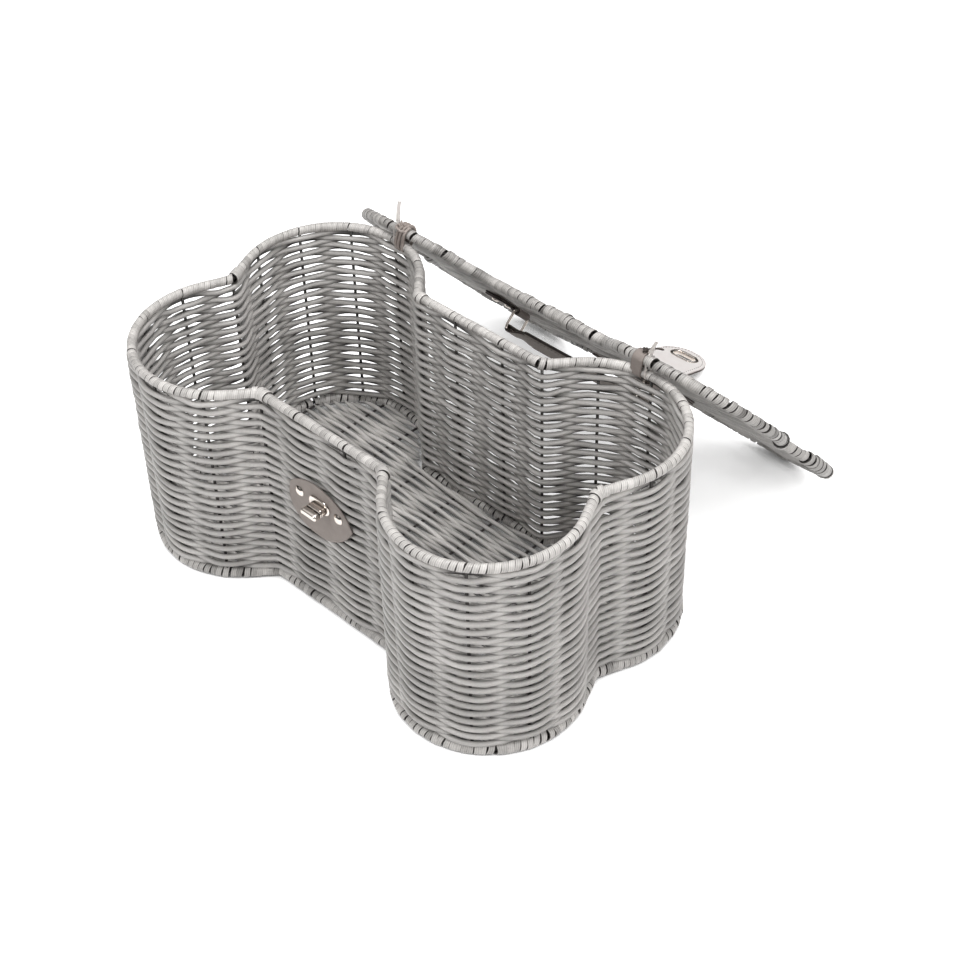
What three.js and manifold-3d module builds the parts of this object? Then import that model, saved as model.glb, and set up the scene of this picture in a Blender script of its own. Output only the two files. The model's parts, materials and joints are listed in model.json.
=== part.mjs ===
// A bone-shaped wicker basket with a hinged lid, a strap handle, a leather flap and a turn lock.
// Millimetres, +Z up. The origin is the middle of the base, on the surface the basket stands on.
import * as THREE from "three";
import { mergeVertices } from "three/addons/utils/BufferGeometryUtils.js";
import Module from "manifold-3d";

const wasm = await Module();
wasm.setup();

// Plan of the rim's centre line: four round lobes, straight necks, and a notch at each end
const lobeCentreX = 119;
const lobeCentreY = 47;
const lobeRadius = 62.5;
const sideY = 71.5; // from the long axis to the straight middle
const neckFill = 4.5; // from where a lobe's circle meets the straight middle to the neck's corner
const notchFill = 6.3; // from where the two circles of an end meet to the notch's corner
const arcSteps = 10;

// Basket body
const rimHeight = 160; // centre of the wrapped rim
const rimRadius = 3.2;
const borderRadius = 4; // wrapped border that the basket stands on
const wallThickness = 8.2; // over the strands where they pass a stake
const wallRibs = 21; // each stands for two rows of strand
const strandRadius = 1.7; // half the weave's thickness between the wires
const wireCover = 0.3; // over a wire where the strand runs on its other side
const floorThickness = 7.4;
const wireRadius = 1.5;
const wireSides = 4;
const wrapSides = 8;
const boreSides = 8;
const stakesPerLobe = 5;
const stakeClearance = 0.8; // from a lock screw to the stake beside it
const crossWirePitch = 38.5;
const crossWirePairs = 5;
const gap = 0.3; // between pieces that touch
const cutMargin = 1; // how far a cutting solid runs past what it cuts
const wireClearance = 0.3;

// Lid
const lidBorderRadius = 4.3;
const lidOutset = 3; // the lid is this much larger than the rim all round
const lidThickness = 6;
const lidRibPitch = 7;
const floorClearance = 0.3; // under the open lid's front edge
const hingeSlack = 1.9; // play that the ties leave between the rim and the lid's border

// Ties that hold the lid's border to the rim
const tieX = 108;
const tieWidth = 9;
const tieThickness = 1.4;
const tieClearance = 1.6;
const beltSteps = 7; // facets round each end of a belt
const laceRadius = 1.1;
const lacePitch = 3;
const laceTurns = 3;
const laceStart = 0.12; // share of a turn where the lace starts
const knotHeight = 4;
const bandKnotRadius = 2.2;
const bandKnotTube = 0.9;
const laceEndRadius = 0.8;
const nylonWidth = 1.8;
const nylonThickness = 0.9;
const nylonHeadSize = 2.6;
const nylonTailLeft = 19;
const nylonTailRight = 14;
const nylonLeanLeft = 5; // degrees from upright
const nylonLeanRight = 20;
const tieNotchDepth = 13.5; // opening left in the lid's weave for the ties
const tieMargin = 0.6; // from the ties to the sides of their openings

// Turn lock
const lockHeight = 100;
const padChord = 60;
const padRise = 15; // top arc above the chord
const padDrop = 26; // bottom arc below the chord
const padTilt = -9; // degrees
const padThickness = 1.4;
const lockFlangeLength = 24;
const lockFlangeWidth = 13;
const lockFlangeThickness = 0.8;
const collarLength = 17;
const collarWidth = 6.4;
const knobLength = 18.4;
const knobWidth = 6.2;
const knobDepth = 4.8;
const stemRadius = 2;
const screwSpacing = 36;
const screwRadius = 1.25;
const screwHeadRadius = 3.8;
const screwHeadHeight = 1.8;
const screwSides = 10;
const screwBeyondNut = 1;
const backingMargin = 5; // from a screw's centre to the end of the backing plate
const backingWidth = 12;
const backingThickness = 1;
const nutRadius = 3.2;
const nutThickness = 2.2;

// Flap with its metal-edged slot
const flapBend = 31; // degrees from the plane of the lid
const flapHalfWidth = 21.5;
const flapBeyondSlot = 14.5;
const flapOffset = 5.2; // inner face from the centre of the lid's border
const liningThickness = 1;
const leatherThickness = 1.6;
const slotLength = 19.4;
const slotWidth = 8.6;
const eyeletMargin = 4.3;
const eyeletThickness = 0.8;
const eyeletWall = 1;
const anchorLength = 28;
const flapSeam = 0.5; // from the bend line to the flap's drawn edge
const anchorSeam = 0.4;
const flapRivetSpacing = 24;
const flapRivetSetback = 20; // from the bend line

// Handle
const ringX = 62;
const ringDrop = 14; // from the upper bar's centre to the lower bar's
const ringInnerWidth = 19;
const ringThickness = 2.2;
const barClearance = 0.35;
const strapThickness = 1.4; // one layer of the loops
const tabWidth = 17;
const tabLength = 34;
const gripWidth = 22;
const gripThickness = 4;
const gripEnd = 16; // from a ring's bar to the wide part
const rivetSetback = 14; // from a ring's upper bar to the first rivet
const rivetSpacing = 13;
const rivetRadius = 1.2;
const rivetHeadRadius = 3.3;
const rivetHeadHeight = 1.3;
const rivetSides = 8;

// Sizes that follow from those above
const neckX = lobeCentreX - Math.sqrt(lobeRadius ** 2 - (sideY - lobeCentreY) ** 2) - neckFill;
const notchX = lobeCentreX + Math.sqrt(lobeRadius ** 2 - lobeCentreY ** 2) + notchFill;
const hingeHeight = rimHeight + rimRadius + lidBorderRadius + hingeSlack;
const hingeY = crossings(tieX, lidOutset).at(-1);
const lidReach = hingeY + lobeCentreY + lobeRadius + lidOutset;
const lidDrop = Math.asin((hingeHeight - lidBorderRadius - floorClearance) / lidReach);
const lidOpenAngle = Math.PI + lidDrop;
const flapAxisY = -(sideY + lidOutset);
const slotReach = hingeHeight - lockHeight;
const eyeletFace = flapOffset + liningThickness + leatherThickness + 2 * gap + eyeletThickness;
const nylonX = tieX + (lacePitch * laceTurns) / 2 + laceRadius + gap + nylonHeadSize / 2;
const backingLength = screwSpacing + 2 * backingMargin;
const sideStakeX = screwSpacing / 2 + screwRadius + stakeClearance + wireRadius;
const wallFrontY = -(sideY + wallThickness / 2);
const wallBackY = -(sideY - wallThickness / 2);
const padFaceY = wallFrontY - gap - padThickness;
const flangeFaceY = padFaceY - gap - lockFlangeThickness;
const collarEndY = flapAxisY - eyeletFace - gap;
const barHoleRadius = (ringThickness / 2) * Math.SQRT2 + barClearance;
const loopRadius = barHoleRadius + strapThickness;
const barHeight = lidThickness / 2 + gap + loopRadius;
const gripHeight = barHeight + ringDrop;

// Materials, one for each finish
function finish(color, roughness, metalness = 0) {
  return () => new THREE.MeshStandardMaterial({ color, roughness, metalness });
}
const wickerFinish = finish("#a9a8a6", 0.55);
const wireFinish = finish("#3b3836", 0.5, 0.6);
const leatherFinish = finish("#968d88", 0.6);
const liningFinish = finish("#e6dfdb", 0.75);
const nickelFinish = finish("#d9cec2", 0.22, 1);
const nylonFinish = finish("#e9e4e2", 0.4);

// The point where a line from a corner touches the lobe's circle, on the side that turn gives
function tangentPoint(corner, turn) {
  const centre = new THREE.Vector2(lobeCentreX, lobeCentreY);
  const toCentre = centre.clone().sub(corner);
  const swing = Math.asin(lobeRadius / toCentre.length());
  const reach = Math.sqrt(toCentre.lengthSq() - lobeRadius ** 2);
  const heading = toCentre.angle() + turn * swing;
  return corner.clone().add(new THREE.Vector2(reach, 0).rotateAround(new THREE.Vector2(), heading));
}

// One quarter of the outline, from the neck corner round the lobe to the end notch
function quarterOutline(outset) {
  const centre = new THREE.Vector2(lobeCentreX, lobeCentreY);
  const neck = new THREE.Vector2(neckX, sideY);
  const notch = new THREE.Vector2(notchX, 0);
  const neckTouch = tangentPoint(neck, 1);
  const notchTouch = tangentPoint(notch, -1);
  const neckOut = neckTouch.clone().sub(centre).normalize();
  const notchOut = notchTouch.clone().sub(centre).normalize();
  const neckLine = neck.clone().sub(neckTouch);
  const notchLine = notch.clone().sub(notchTouch);
  const neckStart = neckTouch.clone().addScaledVector(neckOut, outset);
  const notchStart = notchTouch.clone().addScaledVector(notchOut, outset);
  const neckRun = (sideY + outset - neckStart.y) / neckLine.y;
  const notchRun = -notchStart.y / notchLine.y;
  const points = [neckStart.clone().addScaledVector(neckLine, neckRun)];
  const from = neckOut.angle();
  const to = notchOut.angle() - 2 * Math.PI;
  for (let step = 0; step <= arcSteps; step++) {
    const angle = from + ((to - from) * step) / arcSteps;
    const radial = new THREE.Vector2(Math.cos(angle), Math.sin(angle));
    points.push(centre.clone().addScaledVector(radial, lobeRadius + outset));
  }
  points.push(notchStart.clone().addScaledVector(notchLine, notchRun));
  return points;
}

// The whole outline, anticlockwise from the front right neck corner
function outline(outset) {
  const quarter = quarterOutline(outset);
  const back = quarter.slice(0, -1).reverse();
  const turned = (points, sx, sy) => points.map((p) => new THREE.Vector2(sx * p.x, sy * p.y));
  return [
    ...turned(quarter, 1, -1),
    ...turned(back, 1, 1),
    ...turned(quarter, -1, 1),
    ...turned(back, -1, -1),
  ];
}

// Where the outline crosses a line of constant x, from front to rear
function crossings(x, outset) {
  const points = outline(outset);
  const found = [];
  points.forEach((a, index) => {
    const b = points[(index + 1) % points.length];
    if (a.x < x !== b.x < x) found.push(a.y + ((b.y - a.y) * (x - a.x)) / (b.x - a.x));
  });
  return found.sort((a, b) => a - b);
}

// Solids and how they join
function solid(geometry) {
  const bare = geometry.clone();
  bare.deleteAttribute("normal");
  bare.deleteAttribute("uv");
  const merged = mergeVertices(bare, 1e-4);
  const vertProperties = new Float32Array(merged.getAttribute("position").array);
  const triVerts = new Uint32Array(merged.index.array);
  return new wasm.Manifold(new wasm.Mesh({ numProp: 3, vertProperties, triVerts }));
}

function geometryOf(body) {
  const made = body.getMesh();
  const geometry = new THREE.BufferGeometry();
  geometry.setAttribute("position", new THREE.BufferAttribute(made.vertProperties, 3));
  geometry.setIndex(new THREE.BufferAttribute(made.triVerts, 1));
  return geometry.toNonIndexed();
}

function joined(bodies) {
  return bodies.reduce((whole, body) => whole.add(body));
}

function cut(body, tools) {
  return tools.length ? body.subtract(joined(tools)) : body;
}

function piece(name, body, makeMaterial) {
  const geometry = body.isBufferGeometry ? body : geometryOf(body);
  geometry.computeVertexNormals();
  const mesh = new THREE.Mesh(geometry, makeMaterial());
  mesh.name = name;
  return mesh;
}

// A closed skin over rings of points that run round the basket
function skin(rings) {
  const count = rings[0].length;
  const index = [];
  for (let side = 0; side < rings.length; side++) {
    const next = (side + 1) % rings.length;
    for (let i = 0; i < count; i++) {
      const j = (i + 1) % count;
      index.push(side * count + i, side * count + j, next * count + j);
      index.push(side * count + i, next * count + j, next * count + i);
    }
  }
  const geometry = new THREE.BufferGeometry();
  geometry.setAttribute("position", new THREE.Float32BufferAttribute(rings.flat(2), 3));
  geometry.setIndex(index);
  return solid(geometry);
}

// A tube that follows the outline: radius is measured to its flats
function ringTube(outset, height, radius, sides) {
  const corner = radius / Math.cos(Math.PI / sides);
  const rings = [];
  for (let side = 0; side < sides; side++) {
    const angle = ((side + 0.5) * 2 * Math.PI) / sides;
    const z = height + corner * Math.sin(angle);
    rings.push(outline(outset + corner * Math.cos(angle)).map((p) => [p.x, p.y, z]));
  }
  return skin(rings);
}

// A plate of the outline's shape
function plate(outset, low, high) {
  const shape = new THREE.Shape(outline(outset));
  const geometry = new THREE.ExtrudeGeometry(shape, { depth: high - low, bevelEnabled: false });
  return solid(geometry.translate(0, 0, low));
}

function upright(x, y, low, high, radius, sides = wireSides) {
  const geometry = new THREE.CylinderGeometry(radius, radius, high - low, sides);
  geometry.rotateX(Math.PI / 2);
  return solid(geometry.translate(x, y, (low + high) / 2));
}

function rodAlongY(x, from, to, z, radius, sides = wireSides) {
  const geometry = new THREE.CylinderGeometry(radius, radius, to - from, sides);
  return solid(geometry.translate(x, (from + to) / 2, z));
}

function boreAlongZ(x, y, low, high, radius) {
  return upright(x, y, low, high, radius, boreSides);
}

function boreAlongY(x, from, to, z, radius) {
  return rodAlongY(x, from, to, z, radius, boreSides);
}

function box(lowX, lowY, lowZ, highX, highY, highZ) {
  const geometry = new THREE.BoxGeometry(highX - lowX, highY - lowY, highZ - lowZ);
  return solid(geometry.translate((lowX + highX) / 2, (lowY + highY) / 2, (lowZ + highZ) / 2));
}

// A shape drawn in Y and Z, as thick as width along X
function acrossX(shape, centreX, width, curveSegments = 4) {
  const settings = { depth: width, bevelEnabled: false, curveSegments };
  const geometry = new THREE.ExtrudeGeometry(shape, settings).translate(0, 0, -width / 2);
  const turn = new THREE.Matrix4().makeBasis(
    new THREE.Vector3(0, 1, 0),
    new THREE.Vector3(0, 0, 1),
    new THREE.Vector3(1, 0, 0),
  );
  return solid(geometry.applyMatrix4(turn).translate(centreX, 0, 0));
}

// A shape drawn in X and Z, from one Y to another
function acrossY(shape, lowY, highY, curveSegments = 6) {
  const settings = { depth: highY - lowY, bevelEnabled: false, curveSegments };
  const geometry = new THREE.ExtrudeGeometry(shape, settings);
  return solid(geometry.rotateX(Math.PI / 2).translate(0, highY, 0));
}

function acrossZ(shape, lowZ, highZ, curveSegments = 6) {
  const settings = { depth: highZ - lowZ, bevelEnabled: false, curveSegments };
  return solid(new THREE.ExtrudeGeometry(shape, settings).translate(0, 0, lowZ));
}

// A slot with round ends, centred on the drawing's origin or at x, y
function stadium(Kind, length, width, x = 0, y = 0) {
  const radius = width / 2;
  const half = length / 2 - radius;
  const path = new Kind();
  path.absarc(x + half, y, radius, -Math.PI / 2, Math.PI / 2, false);
  path.absarc(x - half, y, radius, Math.PI / 2, (3 * Math.PI) / 2, false);
  path.closePath();
  return path;
}

function circle(Kind, x, y, radius) {
  const path = new Kind();
  path.absarc(x, y, radius, 0, 2 * Math.PI, false);
  return path;
}

// Places of the upright stakes, every one on the faceted outline
function stakePlaces() {
  const quarter = quarterOutline(0);
  const lengths = quarter.slice(1).map((p, i) => p.distanceTo(quarter[i]));
  const total = lengths.reduce((sum, length) => sum + length, 0);
  const along = (distance) => {
    let left = distance;
    let leg = 0;
    while (leg < lengths.length - 1 && left > lengths[leg]) {
      left -= lengths[leg];
      leg += 1;
    }
    return quarter[leg].clone().lerp(quarter[leg + 1], left / lengths[leg]);
  };
  const places = [];
  for (const sx of [1, -1]) {
    for (const sy of [1, -1]) {
      for (let stake = 0; stake <= stakesPerLobe; stake++) {
        const spot = along((total * stake) / (stakesPerLobe + 1));
        places.push([sx * spot.x, sy * spot.y]);
      }
    }
    places.push([sx * notchX, 0]);
  }
  for (const x of [sideStakeX, -sideStakeX]) places.push([x, sideY], [x, -sideY]);
  return places;
}

// Cross wires of a flat panel, from hoop to hoop
function crossWires(outset, z, radius) {
  const wires = [];
  for (let pair = 0; pair < crossWirePairs; pair++) {
    for (const side of [1, -1]) {
      const x = side * (pair + 0.5) * crossWirePitch;
      const ends = crossings(x, outset);
      for (let i = 0; i + 1 < ends.length; i += 2) wires.push(rodAlongY(x, ends[i], ends[i + 1], z, radius));
    }
  }
  return wires;
}

// Basket body
const stakes = stakePlaces();
const tunnelRadius = wireRadius + wireClearance;

function stakeTunnels(low, high) {
  return stakes.map(([x, y]) => upright(x, y, low, high, tunnelRadius));
}

function basketFrameWire() {
  const hoops = [rimHeight, borderRadius].map((z) => ringTube(0, z, wireRadius, wireSides));
  const posts = stakes.map(([x, y]) => upright(x, y, borderRadius, rimHeight, wireRadius));
  return joined([...hoops, ...posts, ...crossWires(0, borderRadius, wireRadius)]);
}

function rimWrap() {
  const body = ringTube(0, rimHeight, rimRadius, wrapSides);
  const hoop = ringTube(0, rimHeight, tunnelRadius, wireSides);
  return cut(body, [hoop, ...stakeTunnels(rimHeight - 2 * rimRadius, rimHeight)]);
}

function baseBorderWrap() {
  const body = ringTube(0, borderRadius, borderRadius, wrapSides);
  const hoop = ringTube(0, borderRadius, tunnelRadius, wireSides);
  const posts = stakeTunnels(borderRadius, 3 * borderRadius);
  return cut(body, [hoop, ...posts, ...crossWires(0, borderRadius, tunnelRadius)]);
}

function tieOpenings(lowY, highY, lowZ, highZ) {
  const low = tieX - (lacePitch * laceTurns) / 2 - laceRadius - tieMargin;
  const high = nylonX + nylonHeadSize / 2 + tieMargin;
  return [box(low, lowY, lowZ, high, highY, highZ), box(-high, lowY, lowZ, -low, highY, highZ)];
}

const boreStartY = wallFrontY - cutMargin;
const boreEndY = wallBackY + cutMargin;

// How far the weave reaches to one face: a rib bulges over every other wire, the next rib over the rest
function weaveReach(wire, rib, face, most) {
  const bulges = (wire + rib + (face > 0 ? 0 : 1)) % 2 === 0;
  return bulges ? most : tunnelRadius + wireCover;
}

// Columns of the woven wall, as places on the outline: one at each stake and one half way to the next
function wallColumns() {
  const points = outline(0);
  const lengths = points.map((a, leg) => a.distanceTo(points[(leg + 1) % points.length]));
  const starts = lengths.map((length, leg) => lengths.slice(0, leg).reduce((sum, each) => sum + each, 0));
  const whole = starts.at(-1) + lengths.at(-1);
  const distances = stakes.map(([x, y]) => {
    const spot = new THREE.Vector2(x, y);
    const detours = points.map((a, leg) => {
      return spot.distanceTo(a) + spot.distanceTo(points[(leg + 1) % points.length]) - lengths[leg];
    });
    const leg = detours.indexOf(Math.min(...detours));
    return (starts[leg] + spot.distanceTo(points[leg])) % whole;
  });
  distances.sort((a, b) => a - b);
  const halfWays = distances.map((start, i) => (start + (distances[i + 1] ?? distances[0] + whole)) / 2);
  const places = distances.flatMap((start, i) => [start, halfWays[i] % whole]);
  return places.map((distance) => {
    const leg = starts.findLastIndex((start) => start <= distance);
    return { leg, share: (distance - starts[leg]) / lengths[leg] };
  });
}

function wovenWall(low, high) {
  const columns = wallColumns();
  const levels = Array.from({ length: wallRibs }, (_, rib) => rib);
  const ring = (rib, face) => {
    const z = low + ((high - low) * rib) / (wallRibs - 1);
    return columns.map(({ leg, share }, column) => {
      const atStake = column % 2 === 0;
      const reach = atStake ? weaveReach(column / 2, rib, face, wallThickness / 2) : strandRadius;
      const points = outline(face * reach);
      const spot = points[leg].clone().lerp(points[(leg + 1) % points.length], share);
      return [spot.x, spot.y, z];
    });
  };
  const outer = levels.map((rib) => ring(rib, 1));
  const inner = levels.map((rib) => ring(rib, -1));
  return skin([...outer, ...inner.reverse()]);
}

function wallWeave() {
  const low = 2 * borderRadius + gap;
  const high = rimHeight - rimRadius - gap;
  const body = wovenWall(low, high);
  const underTies = rimHeight - rimRadius - tieClearance - 2 * laceRadius - gap;
  const holes = [-1, 1].map((side) =>
    boreAlongY((side * screwSpacing) / 2, boreStartY, boreEndY, lockHeight, screwRadius + gap),
  );
  holes.push(boreAlongY(0, boreStartY, boreEndY, lockHeight, stemRadius + gap));
  const openings = tieOpenings(sideY + wallThickness, hingeY + wallThickness, underTies, rimHeight);
  return cut(body, [...stakeTunnels(0, rimHeight), ...openings, ...holes]);
}

function floorWeave() {
  const body = plate(-(borderRadius + gap), 0, floorThickness);
  return cut(body, crossWires(0, borderRadius, tunnelRadius));
}

// Turn lock on the front wall
function lockPad() {
  const half = padChord / 2;
  const arc = (rise, from, to, up) => {
    const radius = (half ** 2 + rise ** 2) / (2 * rise);
    const centreY = up * (rise - radius);
    const lean = Math.atan2(half, radius - rise);
    return { centreY, radius, from: from(lean), to: to(lean) };
  };
  const top = arc(padRise, (lean) => Math.PI / 2 - lean, (lean) => Math.PI / 2 + lean, 1);
  const bottom = arc(padDrop, (lean) => -Math.PI / 2 - lean, (lean) => -Math.PI / 2 + lean, -1);
  const shape = new THREE.Shape();
  shape.absarc(0, top.centreY, top.radius, top.from, top.to, false);
  shape.absarc(0, bottom.centreY, bottom.radius, bottom.from, bottom.to, false);
  const settings = { depth: padThickness, bevelEnabled: false, curveSegments: 8 };
  const geometry = new THREE.ExtrudeGeometry(shape, settings);
  geometry.rotateZ(THREE.MathUtils.degToRad(padTilt)).rotateX(Math.PI / 2);
  const body = solid(geometry.translate(0, padFaceY + padThickness, lockHeight));
  const holes = [-1, 1].map((side) =>
    boreAlongY((side * screwSpacing) / 2, padFaceY - cutMargin, boreEndY, lockHeight, screwRadius + gap),
  );
  holes.push(boreAlongY(0, padFaceY - cutMargin, boreEndY, lockHeight, stemRadius + gap));
  return cut(body, holes);
}

function lockBase() {
  const flange = stadium(THREE.Shape, lockFlangeLength, lockFlangeWidth, 0, lockHeight);
  const collar = stadium(THREE.Shape, collarLength, collarWidth, 0, lockHeight);
  const flangeBody = acrossY(flange, flangeFaceY, flangeFaceY + lockFlangeThickness);
  const collarBody = acrossY(collar, collarEndY, flangeFaceY + lockFlangeThickness / 2);
  const bore = boreAlongY(0, collarEndY - cutMargin, padFaceY + cutMargin, lockHeight, stemRadius + gap);
  return flangeBody.add(collarBody).subtract(bore);
}

function lockKnob() {
  const bar = stadium(THREE.Shape, knobLength, knobWidth, 0, lockHeight);
  const barFaceY = collarEndY - gap - knobDepth;
  const barBody = acrossY(bar, barFaceY, barFaceY + knobDepth);
  const stemEndY = wallBackY + 2 * gap + 2 * backingThickness + nutThickness;
  return barBody.add(boreAlongY(0, barFaceY + knobDepth / 2, stemEndY, lockHeight, stemRadius));
}

function knobWasher() {
  const lowY = wallBackY + 2 * gap + backingThickness;
  const disc = circle(THREE.Shape, 0, lockHeight, 2 * stemRadius);
  disc.holes.push(circle(THREE.Path, 0, lockHeight, stemRadius + gap));
  return acrossY(disc, lowY, lowY + backingThickness, 6);
}

// A fastener about an axis, from its profile of radius and height
function lathed(profile, sides) {
  const points = profile.map(([radius, height]) => new THREE.Vector2(radius, height));
  return new THREE.LatheGeometry(points, sides);
}

function lockScrew(side) {
  const shankEnd = padFaceY - wallBackY - 2 * gap - backingThickness - nutThickness - screwBeyondNut;
  const top = screwHeadHeight + gap;
  const profile = [
    [0, shankEnd],
    [screwRadius, shankEnd],
    [screwRadius, gap],
    [screwHeadRadius, gap],
    [screwHeadRadius * 0.8, gap + screwHeadHeight * 0.65],
    [screwHeadRadius * 0.4, top - screwHeadHeight * 0.06],
    [0, top],
  ];
  const geometry = lathed(profile, screwSides).rotateX(Math.PI);
  return solid(geometry.translate((side * screwSpacing) / 2, padFaceY, lockHeight));
}

function lockBackingPlate() {
  const shape = stadium(THREE.Shape, backingLength, backingWidth, 0, lockHeight);
  for (const x of [-screwSpacing / 2, screwSpacing / 2]) {
    shape.holes.push(circle(THREE.Path, x, lockHeight, screwRadius + gap));
  }
  shape.holes.push(circle(THREE.Path, 0, lockHeight, stemRadius + gap));
  return acrossY(shape, wallBackY + gap, wallBackY + gap + backingThickness, 5);
}

function lockNut(side) {
  const x = (side * screwSpacing) / 2;
  const lowY = wallBackY + 2 * gap + backingThickness;
  const outside = rodAlongY(x, lowY, lowY + nutThickness, lockHeight, nutRadius, 6);
  const highY = lowY + nutThickness;
  return outside.subtract(boreAlongY(x, lowY - cutMargin, highY + cutMargin, lockHeight, screwRadius + gap));
}

// Ties: a belt round the rim's tube and the lid's tube, drawn in Y and Z
const rimTieY = crossings(tieX, 0).at(-1);

function belt(Kind, margin) {
  const rimCentre = new THREE.Vector2(rimTieY, rimHeight);
  const lidCentre = new THREE.Vector2(hingeY, hingeHeight);
  const span = lidCentre.clone().sub(rimCentre);
  const heading = span.angle();
  const spread = Math.acos((rimRadius - lidBorderRadius) / span.length());
  const path = new Kind();
  const [near, far] = [heading - spread, heading + spread];
  path.absarc(lidCentre.x, lidCentre.y, lidBorderRadius + margin, near, far, false);
  path.absarc(rimCentre.x, rimCentre.y, rimRadius + margin, far, near + 2 * Math.PI, false);
  path.closePath();
  return path;
}

function beltLoop(centreX, width, clearance, thickness) {
  const shape = belt(THREE.Shape, clearance + thickness);
  shape.holes.push(belt(THREE.Path, clearance));
  return acrossX(shape, centreX, width, beltSteps);
}

// The lace winds round both tubes as one open tube, and both of its ends run on straight
const laceSteps = 24;
const laceEnd = 2 * laceRadius;

function lacePoints() {
  const path = belt(THREE.Path, tieClearance + laceRadius);
  const start = -(tieX - (lacePitch * laceTurns) / 2);
  const points = [];
  for (let step = 0; step <= laceTurns * laceSteps; step++) {
    const turn = step / laceSteps;
    const spot = path.getPointAt((turn + laceStart) % 1);
    points.push(new THREE.Vector3(start - lacePitch * turn, spot.x, spot.y));
  }
  const first = points[0].clone().sub(points[1]).setLength(laceEnd);
  const last = points.at(-1).clone().sub(points.at(-2)).setLength(laceEnd);
  return [points[0].clone().add(first), ...points, points.at(-1).clone().add(last)];
}

function leastGapToSelf(points, radius) {
  let least = Infinity;
  for (let i = 0; i < points.length; i++) {
    for (let j = i + laceSteps / 2; j < points.length; j++) {
      least = Math.min(least, points[i].distanceTo(points[j]) - 2 * radius);
    }
  }
  return least;
}

function tubeAlong(points, radius, sides, steps) {
  const section = new THREE.Shape();
  for (let side = 0; side < sides; side++) {
    const angle = (side * 2 * Math.PI) / sides;
    const place = [radius * Math.cos(angle), radius * Math.sin(angle)];
    if (side === 0) section.moveTo(...place);
    else section.lineTo(...place);
  }
  const extrudePath = new THREE.CatmullRomCurve3(points);
  return solid(new THREE.ExtrudeGeometry(section, { steps, bevelEnabled: false, extrudePath }));
}

function hingeLashing() {
  const points = lacePoints();
  console.log("least gap between turns of the lashing, mm:", leastGapToSelf(points, laceRadius).toFixed(2));
  return tubeAlong(points, laceRadius, 6, laceTurns * laceSteps);
}

const tieTop = hingeHeight + lidBorderRadius + tieClearance;

function hingeKnot() {
  const geometry = new THREE.SphereGeometry(1, 8, 6);
  geometry.scale(tieWidth / 3, knotHeight * 0.6, knotHeight / 2);
  return solid(geometry.translate(-tieX, hingeY, tieTop + 2 * laceRadius + gap + knotHeight / 2));
}

// A small round knot on the band, and the lace's free end
function hingeLace() {
  const base = tieTop + tieThickness + 2 * gap;
  const knotX = tieX + 1;
  const knotZ = base + bandKnotTube;
  const knot = new THREE.TorusGeometry(bandKnotRadius, bandKnotTube, 6, 10).translate(knotX, hingeY, knotZ);
  const end = [
    new THREE.Vector3(knotX + 1.5, hingeY + 1.8, knotZ),
    new THREE.Vector3(knotX + 4.5, hingeY + 6, knotZ + 0.7),
    new THREE.Vector3(knotX + 11, hingeY + 9, knotZ + 1.3),
  ];
  return solid(knot).add(tubeAlong(end, laceEndRadius, 6, 6));
}

function nylonTie(side) {
  const x = side * nylonX;
  const loop = beltLoop(x, nylonWidth, tieClearance, nylonThickness);
  const half = nylonHeadSize / 2;
  const low = tieTop + nylonThickness / 2;
  const head = box(x - half, hingeY - half, low, x + half, hingeY + half, low + nylonHeadSize);
  return loop.add(head);
}

// The loose end of a nylon tie leans out and a little back
function nylonTail(side, length, lean) {
  const base = tieTop + nylonThickness / 2 + nylonHeadSize + gap;
  const geometry = new THREE.BoxGeometry(nylonWidth, nylonThickness, length);
  geometry.translate(0, 0, length / 2 + gap);
  geometry.rotateY(THREE.MathUtils.degToRad(lean));
  return solid(geometry.translate(side * nylonX, hingeY, base));
}

// Lid, drawn shut with its middle plane at z = 0
const panelInset = lidOutset - lidBorderRadius - gap;

function lidFrameWire() {
  return joined([ringTube(lidOutset, 0, wireRadius, wireSides), ...crossWires(lidOutset, 0, wireRadius)]);
}

function lidBorderWrap() {
  const body = ringTube(lidOutset, 0, lidBorderRadius, wrapSides);
  const hoop = ringTube(lidOutset, 0, tunnelRadius, wireSides);
  return cut(body, [hoop, ...crossWires(lidOutset, 0, tunnelRadius)]);
}

const rivetPlaces = { inner: ringX + rivetSetback, outer: ringX + rivetSetback + rivetSpacing };
const flapRivetX = flapRivetSpacing / 2;
const flapRivetY = flapAxisY + flapRivetSetback;
const anchorBackY = flapAxisY + anchorLength;

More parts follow.
